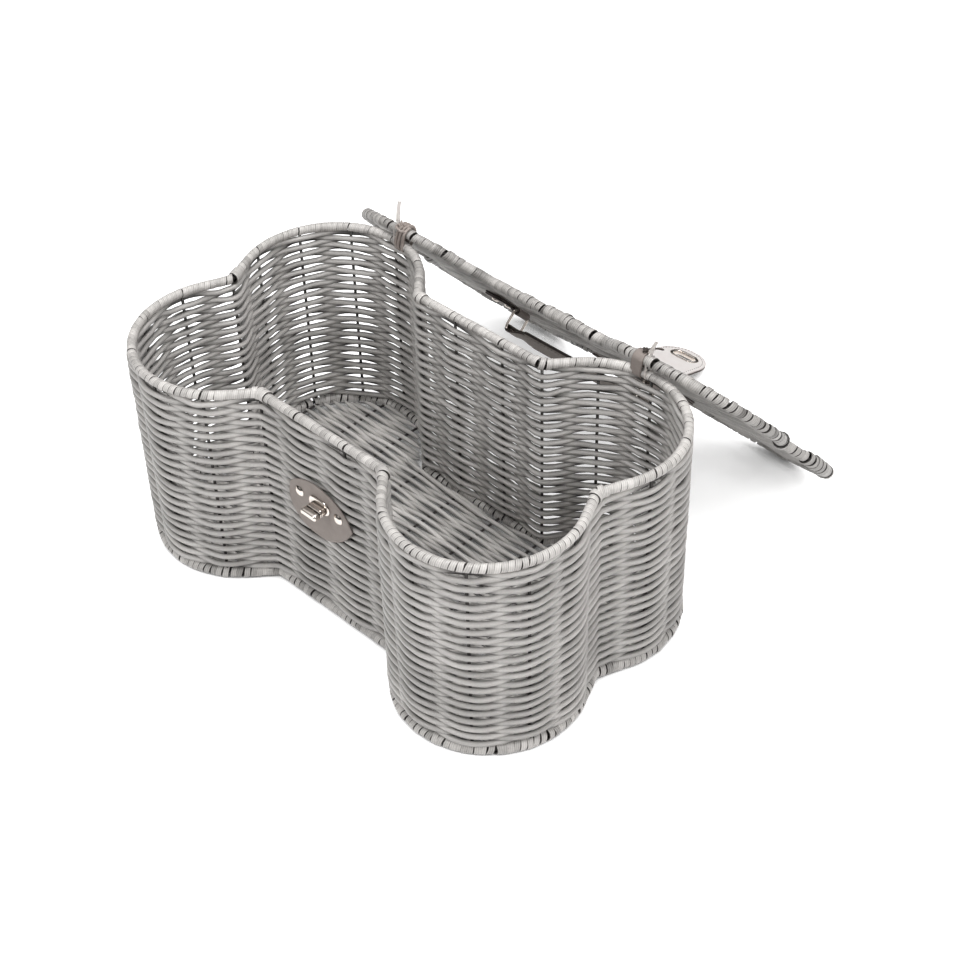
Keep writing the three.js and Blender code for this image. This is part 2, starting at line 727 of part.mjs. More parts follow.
// The lid's sheet of strands, wider than the lid on every side: a grid of points on each face
function wovenSheet() {
  const columns = 4 * crossWirePairs + 1;
  const rows = 2 * Math.ceil((lobeCentreY + lobeRadius) / lidRibPitch) + 1;
  const points = [];
  const index = [];
  for (const face of [1, -1]) {
    for (let row = 0; row < rows; row++) {
      for (let column = 0; column < columns; column++) {
        const x = ((column - 2 * crossWirePairs) * crossWirePitch) / 2;
        const y = (row - (rows - 1) / 2) * lidRibPitch;
        const overWire = column % 2 === 1;
        const reach = overWire ? weaveReach((column - 1) / 2, row, face, lidThickness / 2) : strandRadius;
        points.push(x, y, face * reach);
      }
    }
  }
  const quad = (a, b, c, d) => index.push(a, b, c, a, c, d);
  const under = rows * columns;
  for (let row = 0; row + 1 < rows; row++) {
    for (let column = 0; column + 1 < columns; column++) {
      const at = row * columns + column;
      const above = at + columns;
      quad(at, at + 1, above + 1, above);
      quad(under + at, under + above, under + above + 1, under + at + 1);
    }
    const [left, right] = [row * columns, (row + 1) * columns - 1];
    quad(left, left + columns, under + left + columns, under + left);
    quad(right + columns, right, under + right, under + right + columns);
  }
  for (let column = 0; column + 1 < columns; column++) {
    const far = (rows - 1) * columns + column;
    quad(column + 1, column, under + column, under + column + 1);
    quad(far, far + 1, under + far + 1, under + far);
  }
  const geometry = new THREE.BufferGeometry();
  geometry.setAttribute("position", new THREE.Float32BufferAttribute(points, 3));
  geometry.setIndex(index);
  return solid(geometry);
}

function lidWeave() {
  const low = -lidThickness / 2;
  const body = wovenSheet().intersect(plate(panelInset, low - cutMargin, cutMargin - low));
  const [under, over] = [low - cutMargin, cutMargin - low];
  const openings = tieOpenings(hingeY - tieNotchDepth, hingeY + lidBorderRadius, under, over);
  const holes = [];
  for (const side of [1, -1]) {
    for (const x of Object.values(rivetPlaces)) {
      holes.push(boreAlongZ(side * x, 0, under, over, rivetRadius + gap));
    }
    holes.push(boreAlongZ(side * flapRivetX, flapRivetY, under, over, rivetRadius + gap));
  }
  return cut(body, [...crossWires(lidOutset, 0, tunnelRadius), ...openings, ...holes]);
}

// A rivet with a domed head on each face: the stack it holds lies between low and high
function rivet(x, y, low, high) {
  const profile = [
    [0, low - gap - rivetHeadHeight],
    [rivetHeadRadius * 0.7, low - gap - rivetHeadHeight * 0.8],
    [rivetHeadRadius, low - gap],
    [rivetRadius, low - gap],
    [rivetRadius, high + gap],
    [rivetHeadRadius, high + gap],
    [rivetHeadRadius * 0.7, high + gap + rivetHeadHeight * 0.8],
    [0, high + gap + rivetHeadHeight],
  ];
  return solid(lathed(profile, rivetSides).rotateX(Math.PI / 2).translate(x, y, 0));
}

// A strap folded round a ring's upper bar and laid flat on the lid
const tabTop = lidThickness / 2 + gap + 2 * strapThickness;

function handleTab(side) {
  const low = lidThickness / 2 + gap;
  const shape = new THREE.Shape();
  const meet = Math.asin((barHeight - tabTop) / loopRadius);
  shape.absarc(ringX, barHeight, loopRadius, -meet, (3 * Math.PI) / 2, false);
  shape.lineTo(ringX + tabLength, low);
  shape.lineTo(ringX + tabLength, tabTop);
  shape.closePath();
  shape.holes.push(circle(THREE.Path, ringX, barHeight, barHoleRadius));
  const body = acrossY(shape, -tabWidth / 2, tabWidth / 2, 5);
  const holes = Object.values(rivetPlaces).map((x) =>
    boreAlongZ(x, 0, low - cutMargin, tabTop + cutMargin, rivetRadius + gap),
  );
  const tab = cut(body, holes);
  return side > 0 ? tab : tab.mirror([1, 0, 0]);
}

function handleRing(side) {
  const outerWidth = ringInnerWidth + 2 * ringThickness;
  const low = barHeight - ringThickness / 2;
  const high = gripHeight + ringThickness / 2;
  const frame = new THREE.Shape();
  frame.moveTo(-outerWidth / 2, low);
  frame.lineTo(outerWidth / 2, low);
  frame.lineTo(outerWidth / 2, high);
  frame.lineTo(-outerWidth / 2, high);
  frame.closePath();
  const window = new THREE.Path();
  window.moveTo(-ringInnerWidth / 2, low + ringThickness);
  window.lineTo(ringInnerWidth / 2, low + ringThickness);
  window.lineTo(ringInnerWidth / 2, high - ringThickness);
  window.lineTo(-ringInnerWidth / 2, high - ringThickness);
  window.closePath();
  frame.holes.push(window);
  return acrossX(frame, side * ringX, ringThickness);
}

function handleStrap() {
  const half = strapThickness;
  const meet = Math.asin(half / loopRadius);
  const band = new THREE.Shape();
  band.absarc(ringX, gripHeight, loopRadius, meet - Math.PI, Math.PI - meet, false);
  band.absarc(-ringX, gripHeight, loopRadius, meet, 2 * Math.PI - meet, false);
  band.closePath();
  for (const x of [ringX, -ringX]) band.holes.push(circle(THREE.Path, x, gripHeight, barHoleRadius));
  const narrow = acrossY(band, -tabWidth / 2, tabWidth / 2, 5);
  const reach = ringX - gripEnd;
  const [low, high] = [gripHeight - gripThickness / 2, gripHeight + gripThickness / 2];
  return narrow.add(box(-reach, -gripWidth / 2, low, reach, gripWidth / 2, high));
}

// Flap: drawn straight out from the lid's front edge, with its hinge line at y = 0 and z = 0
function flapShape(startY, slotGrow) {
  const length = slotReach + flapBeyondSlot;
  const roundY = -(length - flapHalfWidth);
  const shape = new THREE.Shape();
  shape.moveTo(flapHalfWidth, startY);
  shape.lineTo(-flapHalfWidth, startY);
  shape.absarc(0, roundY, flapHalfWidth, -Math.PI, 0, false);
  shape.closePath();
  shape.holes.push(slotPath(THREE.Path, slotGrow));
  return shape;
}

function slotPath(Kind, grow) {
  return stadium(Kind, slotLength + 2 * grow, slotWidth + 2 * grow, 0, -slotReach);
}

const leatherLow = flapOffset + liningThickness + gap;

function flapLining() {
  return acrossZ(flapShape(-flapSeam, eyeletWall + gap), flapOffset, flapOffset + liningThickness);
}

function flapLeather() {
  return acrossZ(flapShape(-flapSeam, eyeletWall + gap), leatherLow, leatherLow + leatherThickness);
}

function eyeletFront() {
  const low = leatherLow + leatherThickness + gap;
  const ring = slotPath(THREE.Shape, eyeletMargin);
  ring.holes.push(slotPath(THREE.Path, 0));
  const neck = slotPath(THREE.Shape, eyeletWall);
  neck.holes.push(slotPath(THREE.Path, 0));
  return acrossZ(ring, low, low + eyeletThickness).add(acrossZ(neck, flapOffset, low + eyeletThickness / 2));
}

function eyeletBack() {
  const high = flapOffset - gap;
  const ring = slotPath(THREE.Shape, eyeletMargin);
  ring.holes.push(slotPath(THREE.Path, 0));
  return acrossZ(ring, high - eyeletThickness, high);
}

// The flap's fixed end, over the lid's border and riveted to the weave
function flapAnchor() {
  const thick = liningThickness + gap + leatherThickness;
  const low = lidThickness / 2 + gap;
  const shape = new THREE.Shape();
  shape.moveTo(flapAxisY + anchorSeam, flapOffset);
  shape.lineTo(flapAxisY + lidBorderRadius, flapOffset);
  shape.lineTo(flapAxisY + 2 * lidBorderRadius, low);
  shape.lineTo(anchorBackY, low);
  shape.lineTo(anchorBackY, low + thick);
  shape.lineTo(flapAxisY + 2 * lidBorderRadius, low + thick);
  shape.lineTo(flapAxisY + lidBorderRadius, flapOffset + thick);
  shape.lineTo(flapAxisY + anchorSeam, flapOffset + thick);
  shape.closePath();
  const body = acrossX(shape, 0, 2 * flapHalfWidth);
  const holes = [1, -1].map((side) =>
    boreAlongZ(side * flapRivetX, flapRivetY, low - cutMargin, low + thick + cutMargin, rivetRadius + gap),
  );
  return cut(body, holes);
}

// The parts put together: the lid and the flap each turn as a group
const basket = new THREE.Group();
const lidHinge = new THREE.Group();
const lid = new THREE.Group();
const flap = new THREE.Group();
basket.add(lidHinge);
lidHinge.add(lid);
lid.add(flap);
lidHinge.position.set(0, hingeY, hingeHeight);
lidHinge.rotation.x = -lidOpenAngle;
lid.position.set(0, -hingeY, 0);
flap.position.set(0, flapAxisY, 0);
flap.rotation.x = THREE.MathUtils.degToRad(flapBend);

basket.add(
  piece("basket_frame_wire", basketFrameWire(), wireFinish),
  piece("rim_wrap", rimWrap(), wickerFinish),
  piece("wall_weave", wallWeave(), wickerFinish),
  piece("base_border_wrap", baseBorderWrap(), wickerFinish),
  piece("floor_weave", floorWeave(), wickerFinish),
  piece("lock_pad", lockPad(), leatherFinish),
  piece("lock_base", lockBase(), nickelFinish),
  piece("lock_knob", lockKnob(), nickelFinish),
  piece("lock_knob_washer", knobWasher(), nickelFinish),
  piece("lock_backing_plate", lockBackingPlate(), nickelFinish),
  piece("hinge_lashing_left", hingeLashing(), leatherFinish),
  piece("hinge_knot_left", hingeKnot(), leatherFinish),
  piece("hinge_band_right", beltLoop(tieX, tieWidth, tieClearance, tieThickness), leatherFinish),
  piece("hinge_lace_right", hingeLace(), leatherFinish),
  piece("nylon_tie_left", nylonTie(-1), nylonFinish),
  piece("nylon_tie_right", nylonTie(1), nylonFinish),
  piece("nylon_tail_left", nylonTail(-1, nylonTailLeft, nylonLeanLeft), nylonFinish),
  piece("nylon_tail_right", nylonTail(1, nylonTailRight, nylonLeanRight), nylonFinish),
);
lid.add(
  piece("lid_frame_wire", lidFrameWire(), wireFinish),
  piece("lid_border_wrap", lidBorderWrap(), wickerFinish),
  piece("lid_weave", lidWeave(), wickerFinish),
  piece("handle_strap", handleStrap(), leatherFinish),
  piece("flap_anchor", flapAnchor(), leatherFinish),
);
flap.add(
  piece("flap_leather", flapLeather(), leatherFinish),
  piece("flap_lining", flapLining(), liningFinish),
  piece("eyelet_front", eyeletFront(), nickelFinish),
  piece("eyelet_back", eyeletBack(), nickelFinish),
);
for (const [name, side] of [["left", -1], ["right", 1]]) {
  basket.add(
    piece(`lock_screw_${name}`, lockScrew(side), nickelFinish),
    piece(`lock_nut_${name}`, lockNut(side), nickelFinish),
  );
  const anchorTop = lidThickness / 2 + 2 * gap + liningThickness + leatherThickness;
  const flapRivet = rivet(side * flapRivetX, flapRivetY, -lidThickness / 2, anchorTop);
  lid.add(
    piece(`handle_tab_${name}`, handleTab(side), leatherFinish),
    piece(`handle_ring_${name}`, handleRing(side), nickelFinish),
    piece(`flap_rivet_${name}`, flapRivet, nickelFinish),
  );
  for (const [place, x] of Object.entries(rivetPlaces)) {
    const body = rivet(side * x, 0, -lidThickness / 2, tabTop);
    lid.add(piece(`handle_rivet_${name}_${place}`, body, nickelFinish));
  }
}

// Where the joints lie at rest, in millimetres
function report(label, group, point, axis) {
  const place = group.localToWorld(new THREE.Vector3(...point));
  const heading = new THREE.Vector3(...axis).transformDirection(group.matrixWorld);
  console.log(label, place.toArray().map((v) => v.toFixed(3)), heading.toArray().map((v) => v.toFixed(6)));
}
basket.updateMatrixWorld(true);
console.log("lid opens by degrees:", THREE.MathUtils.radToDeg(lidOpenAngle).toFixed(3));
report("lid hinge", lidHinge, [0, 0, 0], [1, 0, 0]);
report("flap bend", flap, [0, 0, 0], [1, 0, 0]);
report("left ring", lid, [-ringX, 0, barHeight], [0, 1, 0]);
report("strap on left ring", lid, [-ringX, 0, gripHeight], [0, 1, 0]);
report("right ring", lid, [ringX, 0, barHeight], [0, 1, 0]);
report("lock knob", basket, [0, collarEndY, lockHeight], [0, -1, 0]);
report("flap slot", flap, [0, -slotReach, flapOffset + liningThickness], [0, 0, 1]);
report("under the handle", lid, [0, 0, (lidThickness / 2 + gripHeight - gripThickness / 2) / 2], [0, 0, 1]);

export default basket;
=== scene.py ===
import json
import math

import bmesh
import bpy
import numpy as np
from mathutils import Matrix, Vector


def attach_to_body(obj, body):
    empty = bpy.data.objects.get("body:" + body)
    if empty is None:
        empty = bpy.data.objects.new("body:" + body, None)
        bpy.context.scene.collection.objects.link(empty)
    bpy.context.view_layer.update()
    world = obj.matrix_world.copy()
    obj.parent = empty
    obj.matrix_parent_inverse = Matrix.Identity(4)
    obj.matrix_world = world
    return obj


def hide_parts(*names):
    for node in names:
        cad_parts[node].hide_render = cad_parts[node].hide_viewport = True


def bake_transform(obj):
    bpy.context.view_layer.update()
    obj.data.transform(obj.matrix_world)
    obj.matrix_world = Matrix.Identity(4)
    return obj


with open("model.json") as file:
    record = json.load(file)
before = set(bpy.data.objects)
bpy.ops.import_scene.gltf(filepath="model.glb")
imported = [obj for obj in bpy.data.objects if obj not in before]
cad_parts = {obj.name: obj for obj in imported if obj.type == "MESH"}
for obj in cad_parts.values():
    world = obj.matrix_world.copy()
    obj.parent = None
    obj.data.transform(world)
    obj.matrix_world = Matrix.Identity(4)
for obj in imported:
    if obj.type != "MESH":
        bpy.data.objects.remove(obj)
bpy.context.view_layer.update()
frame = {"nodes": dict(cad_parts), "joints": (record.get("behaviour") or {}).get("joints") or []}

mm = 0.001
joints = {joint["name"]: joint for joint in frame["joints"]}
worldX, worldY, worldZ = np.eye(3)
leftRight = ((-1, "left"), (1, "right"))

# plan of the basket, in millimetres: four round lobes, straight necks, a notch at each end
plan = {
    "lobeX": 119.0,
    "lobeY": 47.0,
    "lobeRadius": 62.5,
    "sideY": 71.5,
    "neckFill": 4.5,
    "notchFill": 6.3,
    "samples": 6000,
    "lobeStakes": 5,
    "sideStakeX": 21.55,
    "crossPitch": 38.5,
    "crossPairs": 5,
}
neckRise = plan["sideY"] - plan["lobeY"]
neckX = plan["lobeX"] - math.sqrt(plan["lobeRadius"] ** 2 - neckRise ** 2) - plan["neckFill"]
notchX = plan["lobeX"] + math.sqrt(plan["lobeRadius"] ** 2 - plan["lobeY"] ** 2) + plan["notchFill"]


def unit(rows):
    return rows / np.linalg.norm(rows, axis=-1, keepdims=True)


def closeRing(rows):
    return np.concatenate([rows, rows[:1]])


def headings(points, closed=False):
    # the direction of a line of points at each of them
    if closed:
        return unit(np.roll(points, -1, axis=0) - np.roll(points, 1, axis=0))
    return unit(np.gradient(points, axis=0))


def lengthMarks(points):
    # the length of a line of points up to each of them
    return np.concatenate([[0], np.cumsum(np.linalg.norm(np.diff(points, axis=0), axis=1))])


def readAt(marks, along, rows):
    return np.stack([np.interp(marks, along, column) for column in np.asarray(rows).T], axis=1)


def smoothLine(spots, rounds):
    # evens out a line and leaves its ends
    for _ in range(rounds):
        spots[1:-1] = (spots[:-2] + 2 * spots[1:-1] + spots[2:]) / 4


def quarterPlan():
    # from the neck's corner round one lobe to the end notch, in the x > 0, y > 0 quarter
    centre = np.array([plan["lobeX"], plan["lobeY"]])
    radius = plan["lobeRadius"]

    def touch(corner, turn):
        # where a straight line from the corner touches the lobe
        toCentre = centre - corner
        far = np.hypot(*toCentre)
        heading = math.atan2(toCentre[1], toCentre[0]) + turn * math.asin(radius / far)
        return corner + math.sqrt(far ** 2 - radius ** 2) * np.array([math.cos(heading), math.sin(heading)])

    neck = np.array([neckX, plan["sideY"]])
    notch = np.array([notchX, 0.0])
    neckOut = (touch(neck, 1) - centre) / radius
    notchOut = (touch(notch, -1) - centre) / radius
    start = math.atan2(neckOut[1], neckOut[0])
    end = math.atan2(notchOut[1], notchOut[0])
    angles = np.linspace(start, end, 400)
    arc = centre + radius * np.stack([np.cos(angles), np.sin(angles)], axis=1)
    return np.concatenate([[neck], arc, [notch]])


def wholePlan():
    # anticlockwise, starting at the front right neck
    quarter = quarterPlan()
    back = quarter[-2::-1]
    return np.concatenate([quarter * [1, -1], back, quarter * [-1, 1], back * [-1, -1]])


class PlanPath:
    # the outline as a closed path by arc length, softened by blur and set out by outset
    def __init__(self, blur, outset=0.0):
        sharp = wholePlan()
        marks = lengthMarks(closeRing(sharp))
        self.length = marks[-1]
        count = plan["samples"]
        self.s = np.arange(count) * self.length / count
        even = readAt(self.s, marks, closeRing(sharp))
        waves = np.fft.fftfreq(count, self.length / count)
        soften = np.exp(-2 * (np.pi * waves * blur) ** 2)[:, None]
        soft = np.fft.ifft(np.fft.fft(even, axis=0) * soften, axis=0).real
        heading = headings(soft, closed=True)
        self.out = np.stack([heading[:, 1], -heading[:, 0]], axis=1)
        self.points = soft + self.out * outset

    def at(self, s):
        # places and outward directions at lengths along the path
        s = np.mod(s, self.length)
        marks = np.append(self.s, self.length)
        return readAt(s, marks, closeRing(self.points)), unit(readAt(s, marks, closeRing(self.out)))

    def spans(self, level, axis=1):
        # stretches inside the outline on the line where x (axis 0) or y (axis 1) is at this level
        ring = closeRing(self.points)
        crossing = np.nonzero((ring[:-1, axis] < level) != (ring[1:, axis] < level))[0]
        start, leg = ring[crossing], ring[crossing + 1] - ring[crossing]
        marks = np.sort(start[:, 1 - axis] + (level - start[:, axis]) / leg[:, axis] * leg[:, 1 - axis])
        return list(zip(marks[::2], marks[1::2]))


rowPath = PlanPath(blur=2.4)
hoopPath = PlanPath(blur=1.8)


def stakeMarks():
    # arc lengths of the thirty stakes
    quarter = lengthMarks(quarterPlan())[-1]
    perLobe = quarter * np.arange(plan["lobeStakes"] + 2) / (plan["lobeStakes"] + 1)
    half = list(perLobe) + list(quarter + perLobe[1:])
    half += [2 * quarter + neckX - plan["sideStakeX"], 2 * quarter + neckX + plan["sideStakeX"]]
    across = 2 * quarter + 2 * neckX
    return np.array(half + [across + mark for mark in half])


stakes = stakeMarks()
bays = len(stakes)


def bayToLength(u):
    marks = np.concatenate([stakes, [stakes[0] + rowPath.length]])
    turns = np.floor(u / bays)
    return np.interp(u - turns * bays, np.arange(bays + 1), marks) + turns * rowPath.length


def waver(count, first, until, size, seed):
    # a smooth closed wave, an even mix of the wave numbers from first up to until
    draw = np.random.default_rng(seed)
    turn = np.arange(count) * 2 * np.pi / count
    total = sum(draw.normal() * np.cos(k * turn + draw.uniform(0, 2 * np.pi)) for k in range(first, until))
    return size * total / math.sqrt((until - first) / 2)


# strands are swept grids: each block holds rings of points, with the seam's points twice
def roundSection(radius, sides):
    angle = (np.arange(sides + 1) + 0.5) * 2 * np.pi / sides
    return radius * np.stack([np.cos(angle), np.sin(angle)], axis=1)


def sweep(path, across, up, section, scale=None):
    if scale is None:
        scale = np.ones(len(path))
    wide = across[:, None, :] * (section[None, :, 0:1] * scale[:, None, None])
    high = up[:, None, :] * (section[None, :, 1:2] * scale[:, None, None])
    return path[:, None, :] + wide + high


def roundedEnds(count, rings):
    # radii of a strand whose ends are domed over the given number of rings
    scale = np.ones(count)
    dome = np.sin(np.linspace(0, np.pi / 2, rings))
    scale[:rings] = dome
    scale[-rings:] = dome[::-1]
    return scale


def roundTube(points, radius, sides=8, domeRings=4, closed=False):
    # a round lace or wire along any route, without twist, closed or domed at both ends
    points = np.asarray(points, dtype=float)
    heading = headings(points, closed)
    guide = worldX if abs(heading[0][2]) > 0.99 else worldZ
    up = np.zeros_like(points)
    for k, aim in enumerate(heading):
        guide = unit(guide - aim * (guide @ aim))
        up[k] = guide
    scale = None if closed else roundedEnds(len(points), domeRings)
    block = sweep(points, np.cross(heading, up), up, roundSection(radius, sides), scale)
    return closeRing(block) if closed else block


def spreadTone(tone, rings, sides):
    # one value for the block, for each ring or for each point
    tone = np.asarray(tone, dtype=float)
    if tone.ndim == 1:
        tone = tone[:, None]
    return np.broadcast_to(tone, (rings, sides)).ravel()


def addObject(name, data):
    item = bpy.data.objects.new(name, data)
    bpy.context.scene.collection.objects.link(item)
    return item


def strandMesh(name, blocks, tones, onLid=False):
    # one mesh from swept blocks; onLid moves what is drawn on the shut lid to where the lid hangs
    builder = bmesh.new()
    for block in blocks:
        bmesh.ops.create_grid(builder, x_segments=block.shape[1] - 1, y_segments=block.shape[0] - 1, size=1)
    mesh = bpy.data.meshes.new(name)
    builder.to_mesh(mesh)
    builder.free()
    points = np.concatenate([block.reshape(-1, 3) for block in blocks]) * mm
    if onLid:
        points = toLid(points)
    mesh.vertices.foreach_set("co", points.astype(np.float32).ravel())
    shades, around, along = [], [], []
    for block, tone in zip(blocks, tones):
        rings, sides = block.shape[:2]
        shades.append(spreadTone(tone, rings, sides))
        around.append(np.tile(np.linspace(0, 1, sides), rings))
        middle = block.mean(axis=1)
        steps = np.linalg.norm(np.diff(middle, axis=0, prepend=middle[:1]), axis=1)
        along.append(np.repeat(np.cumsum(steps), sides))
    shade = mesh.attributes.new("tone", "FLOAT", "POINT")
    shade.data.foreach_set("value", np.concatenate(shades).astype(np.float32))
    corners = np.empty(len(mesh.loops), dtype=np.int64)
    mesh.loops.foreach_get("vertex_index", corners)
    uv = np.stack([np.concatenate(around)[corners], np.concatenate(along)[corners] * mm], axis=1)
    layer = mesh.uv_layers.new(name="strandMap")
    layer.data.foreach_set("uv", uv.astype(np.float32).ravel())
    tidy = bmesh.new()
    tidy.from_mesh(mesh)
    bmesh.ops.remove_doubles(tidy, verts=tidy.verts, dist=2e-6)
    bmesh.ops.dissolve_degenerate(tidy, edges=tidy.edges, dist=1e-7)
    bmesh.ops.recalc_face_normals(tidy, faces=tidy.faces)
    tidy.to_mesh(mesh)
    tidy.free()
    mesh.shade_smooth()
    return addObject(name, mesh)


def attach(piece, body, nodes, material):
    piece.data.materials.append(material)
    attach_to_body(piece, body)
    if nodes:
        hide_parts(*nodes)
    return piece


# lid: drawn shut, with its middle plane at z = 0, then turned to where it hangs
hinge = Vector(joints["lid_hinge"]["pos_m"])
bend = Vector(joints["flap_bend"]["pos_m"])
lidDrop = bend - hinge
lidOpen = math.atan2(lidDrop.z, -lidDrop.y) % (2 * math.pi)
lidMatrix = (
    Matrix.Translation(hinge)
    @ Matrix.Rotation(-lidOpen, 4, "X")
    @ Matrix.Translation((0, -hinge.y, 0))
)


def toLid(points):
    turn = np.array(lidMatrix.to_3x3())
    return points @ turn.T + np.array(lidMatrix.translation)


# nodes: what goes into a socket is a value or another node's output
def fill(tree, socket, value):
    if isinstance(value, bpy.types.NodeSocket):
        tree.links.new(value, socket)
    else:
        socket.default_value = value


def addNode(tree, kind, inputs=None, **settings):
    node = tree.nodes.new(kind)
    for key, value in settings.items():
        setattr(node, key, value)
    for socket, value in (inputs or {}).items():
        fill(tree, node.inputs[socket], value)
    return node


def noise(tree, vector, scale, detail, roughness=0.5):
    inputs = {"Vector": vector, "Scale": scale, "Detail": detail, "Roughness": roughness}
    return addNode(tree, "ShaderNodeTexNoise", inputs).outputs["Fac"]


def maths(tree, operation, *values):
    return addNode(tree, "ShaderNodeMath", dict(enumerate(values)), operation=operation).outputs["Value"]


def mapRange(tree, value, toLow, toHigh, fromLow=0.0, fromHigh=1.0, curve="LINEAR"):
    inputs = {"Value": value, "From Min": fromLow, "From Max": fromHigh, "To Min": toLow, "To Max": toHigh}
    return addNode(tree, "ShaderNodeMapRange", inputs, interpolation_type=curve).outputs["Result"]


def mixColours(tree, share, first, second):
    return addNode(tree, "ShaderNodeMix", {"Factor": share, 6: first, 7: second}, data_type="RGBA").outputs[2]


def bumpNormal(tree, height, strength, distance):
    inputs = {"Height": height, "Strength": strength, "Distance": distance}
    return addNode(tree, "ShaderNodeBump", inputs).outputs["Normal"]


def newGroup(name, inputs, outputs):
    group = bpy.data.node_groups.new(name, "ShaderNodeTree")
    kinds = {"f": "NodeSocketFloat", "c": "NodeSocketColor", "v": "NodeSocketVector"}
    for way, sockets in (("INPUT", inputs), ("OUTPUT", outputs)):
        for label, kind in sockets.items():
            group.interface.new_socket(name=label, in_out=way, socket_type=kinds[kind])
    return group, group.nodes.new("NodeGroupInput").outputs, group.nodes.new("NodeGroupOutput").inputs


def newMaterial(name):
    material = bpy.data.materials.new(name)
    material.use_nodes = True
    tree = material.node_tree
    spots = addNode(tree, "ShaderNodeTexCoord").outputs["Object"]
    tone = addNode(tree, "ShaderNodeAttribute", attribute_name="tone").outputs["Fac"]
    return material, tree, spots, tone


def setShader(tree, sockets):
    shader = tree.nodes["Principled BSDF"]
    for socket, value in sockets.items():
        fill(tree, shader.inputs[socket], value)


strandGrain = {
    "stretch": (9.0, 55.0, 1.0),  # round the strand and along it, on the strand's map
    "cloudScale": 22.0,
    "cloudShare": 0.5,
    "speckScale": 900.0,
    "speckShare": 0.18,
    "roughness": (0.28, 0.5),
    "bumpDepth": 0.0002,
    "specular": 0.5,
}
flatFace = {
    "from": 0.25,  # where the outer face starts on the strand's map
    "to": 0.375,
    "ridges": 3,
    "flat": 0.72,
    # grooveDark and edgeDark set how strong the painted shade is in the grooves and at the edges
    "grooveWidth": 0.2,
    "grooveDark": 0.3,
    "edge": (0.13, 0.19),
    "edgeDark": 0.8,
    "ridgeRise": 1.4,
}


def strandGroup():
    # streaks along a strand, with clouds and specks over them
    group, given, result = newGroup(
        "strandFinish",
        {"Vector": "v", "Map": "v", "Tone": "f", "Dark": "c", "Light": "c", "Streaks": "f"},
        {"Color": "c", "Roughness": "f", "Height": "f"},
    )
    stretched = addNode(group, "ShaderNodeMapping", {"Vector": given["Map"], "Scale": strandGrain["stretch"]})
    streak = noise(group, stretched.outputs["Vector"], 1.0, 4.0, 0.6)
    cloud = noise(group, given["Vector"], strandGrain["cloudScale"], 3.0, 0.55)
    speck = noise(group, given["Vector"], strandGrain["speckScale"], 2.0)
    pale = maths(group, "MULTIPLY_ADD", streak, given["Streaks"], given["Tone"])
    pale = maths(group, "MULTIPLY_ADD", cloud, strandGrain["cloudShare"], pale)
    pale = maths(group, "MULTIPLY_ADD", speck, strandGrain["speckShare"], pale)
    fill(group, result["Color"], mixColours(group, pale, given["Dark"], given["Light"]))
    fill(group, result["Roughness"], mapRange(group, streak, *strandGrain["roughness"]))
    fill(group, result["Height"], streak)
    return group


def ridgeGroup():
    # fine grooves along a flat strand's outer face, with painted shade in the grooves and at its edges, where
    # the turns meet
    group, given, result = newGroup("flatRidges", {"Map": "v"}, {"Shade": "f", "Height": "f"})
    low, high, middle = flatFace["from"], flatFace["to"], flatFace["ridges"] / 2
    spread = middle * flatFace["flat"]
    around = addNode(group, "ShaderNodeSeparateXYZ", {"Vector": given["Map"]}).outputs["X"]
    face = mapRange(group, around, middle - spread, middle + spread, low, high)
    fold = maths(group, "PINGPONG", face, 0.5)
    groove = mapRange(group, fold, flatFace["grooveDark"], 0.0, 0.0, flatFace["grooveWidth"])
    reach = maths(group, "ABSOLUTE", maths(group, "SUBTRACT", around, (low + high) / 2))
    edge = mapRange(group, reach, 0.0, flatFace["edgeDark"], *flatFace["edge"])
    fill(group, result["Shade"], maths(group, "MAXIMUM", groove, edge))
    fill(group, result["Height"], fold)
    return group


strandFinish = strandGroup()
flatRidges = ridgeGroup()


def strandMaterial(name, dark, light, streaks, bump=0.25, flat=False):
    material, tree, spots, tone = newMaterial(name)
    strandMap = addNode(tree, "ShaderNodeUVMap", uv_map="strandMap").outputs["UV"]
    if flat:
        ridges = addNode(tree, "ShaderNodeGroup", node_tree=flatRidges)
        fill(tree, ridges.inputs["Map"], strandMap)
        # painted shade in the grooves and at the edges of a flat strand
        tone = maths(tree, "MULTIPLY_ADD", ridges.outputs["Shade"], -1.0, tone)
    inputs = {"Vector": spots, "Map": strandMap, "Tone": tone, "Streaks": streaks}
    colours = {"Dark": (*dark, 1), "Light": (*light, 1)}
    look = addNode(tree, "ShaderNodeGroup", {**inputs, **colours}, node_tree=strandFinish).outputs
    height = look["Height"]
    if flat:
        height = maths(tree, "MULTIPLY_ADD", ridges.outputs["Height"], flatFace["ridgeRise"], height)
    setShader(tree, {
        "Base Color": look["Color"],
        "Roughness": look["Roughness"],
        "Normal": bumpNormal(tree, height, bump, strandGrain["bumpDepth"]),
        "Specular IOR Level": strandGrain["specular"],
    })
    return material


weaveFinish = strandMaterial("greyStrand", (0.07, 0.066, 0.062), (0.72, 0.694, 0.668), 0.25)
wrapFinish = strandMaterial("paleWrap", (0.06, 0.055, 0.05), (0.7, 0.672, 0.645), 0.3, flat=True)
wireFinish = strandMaterial("darkWire", (0.018, 0.016, 0.015), (0.055, 0.05, 0.046), 0.5)

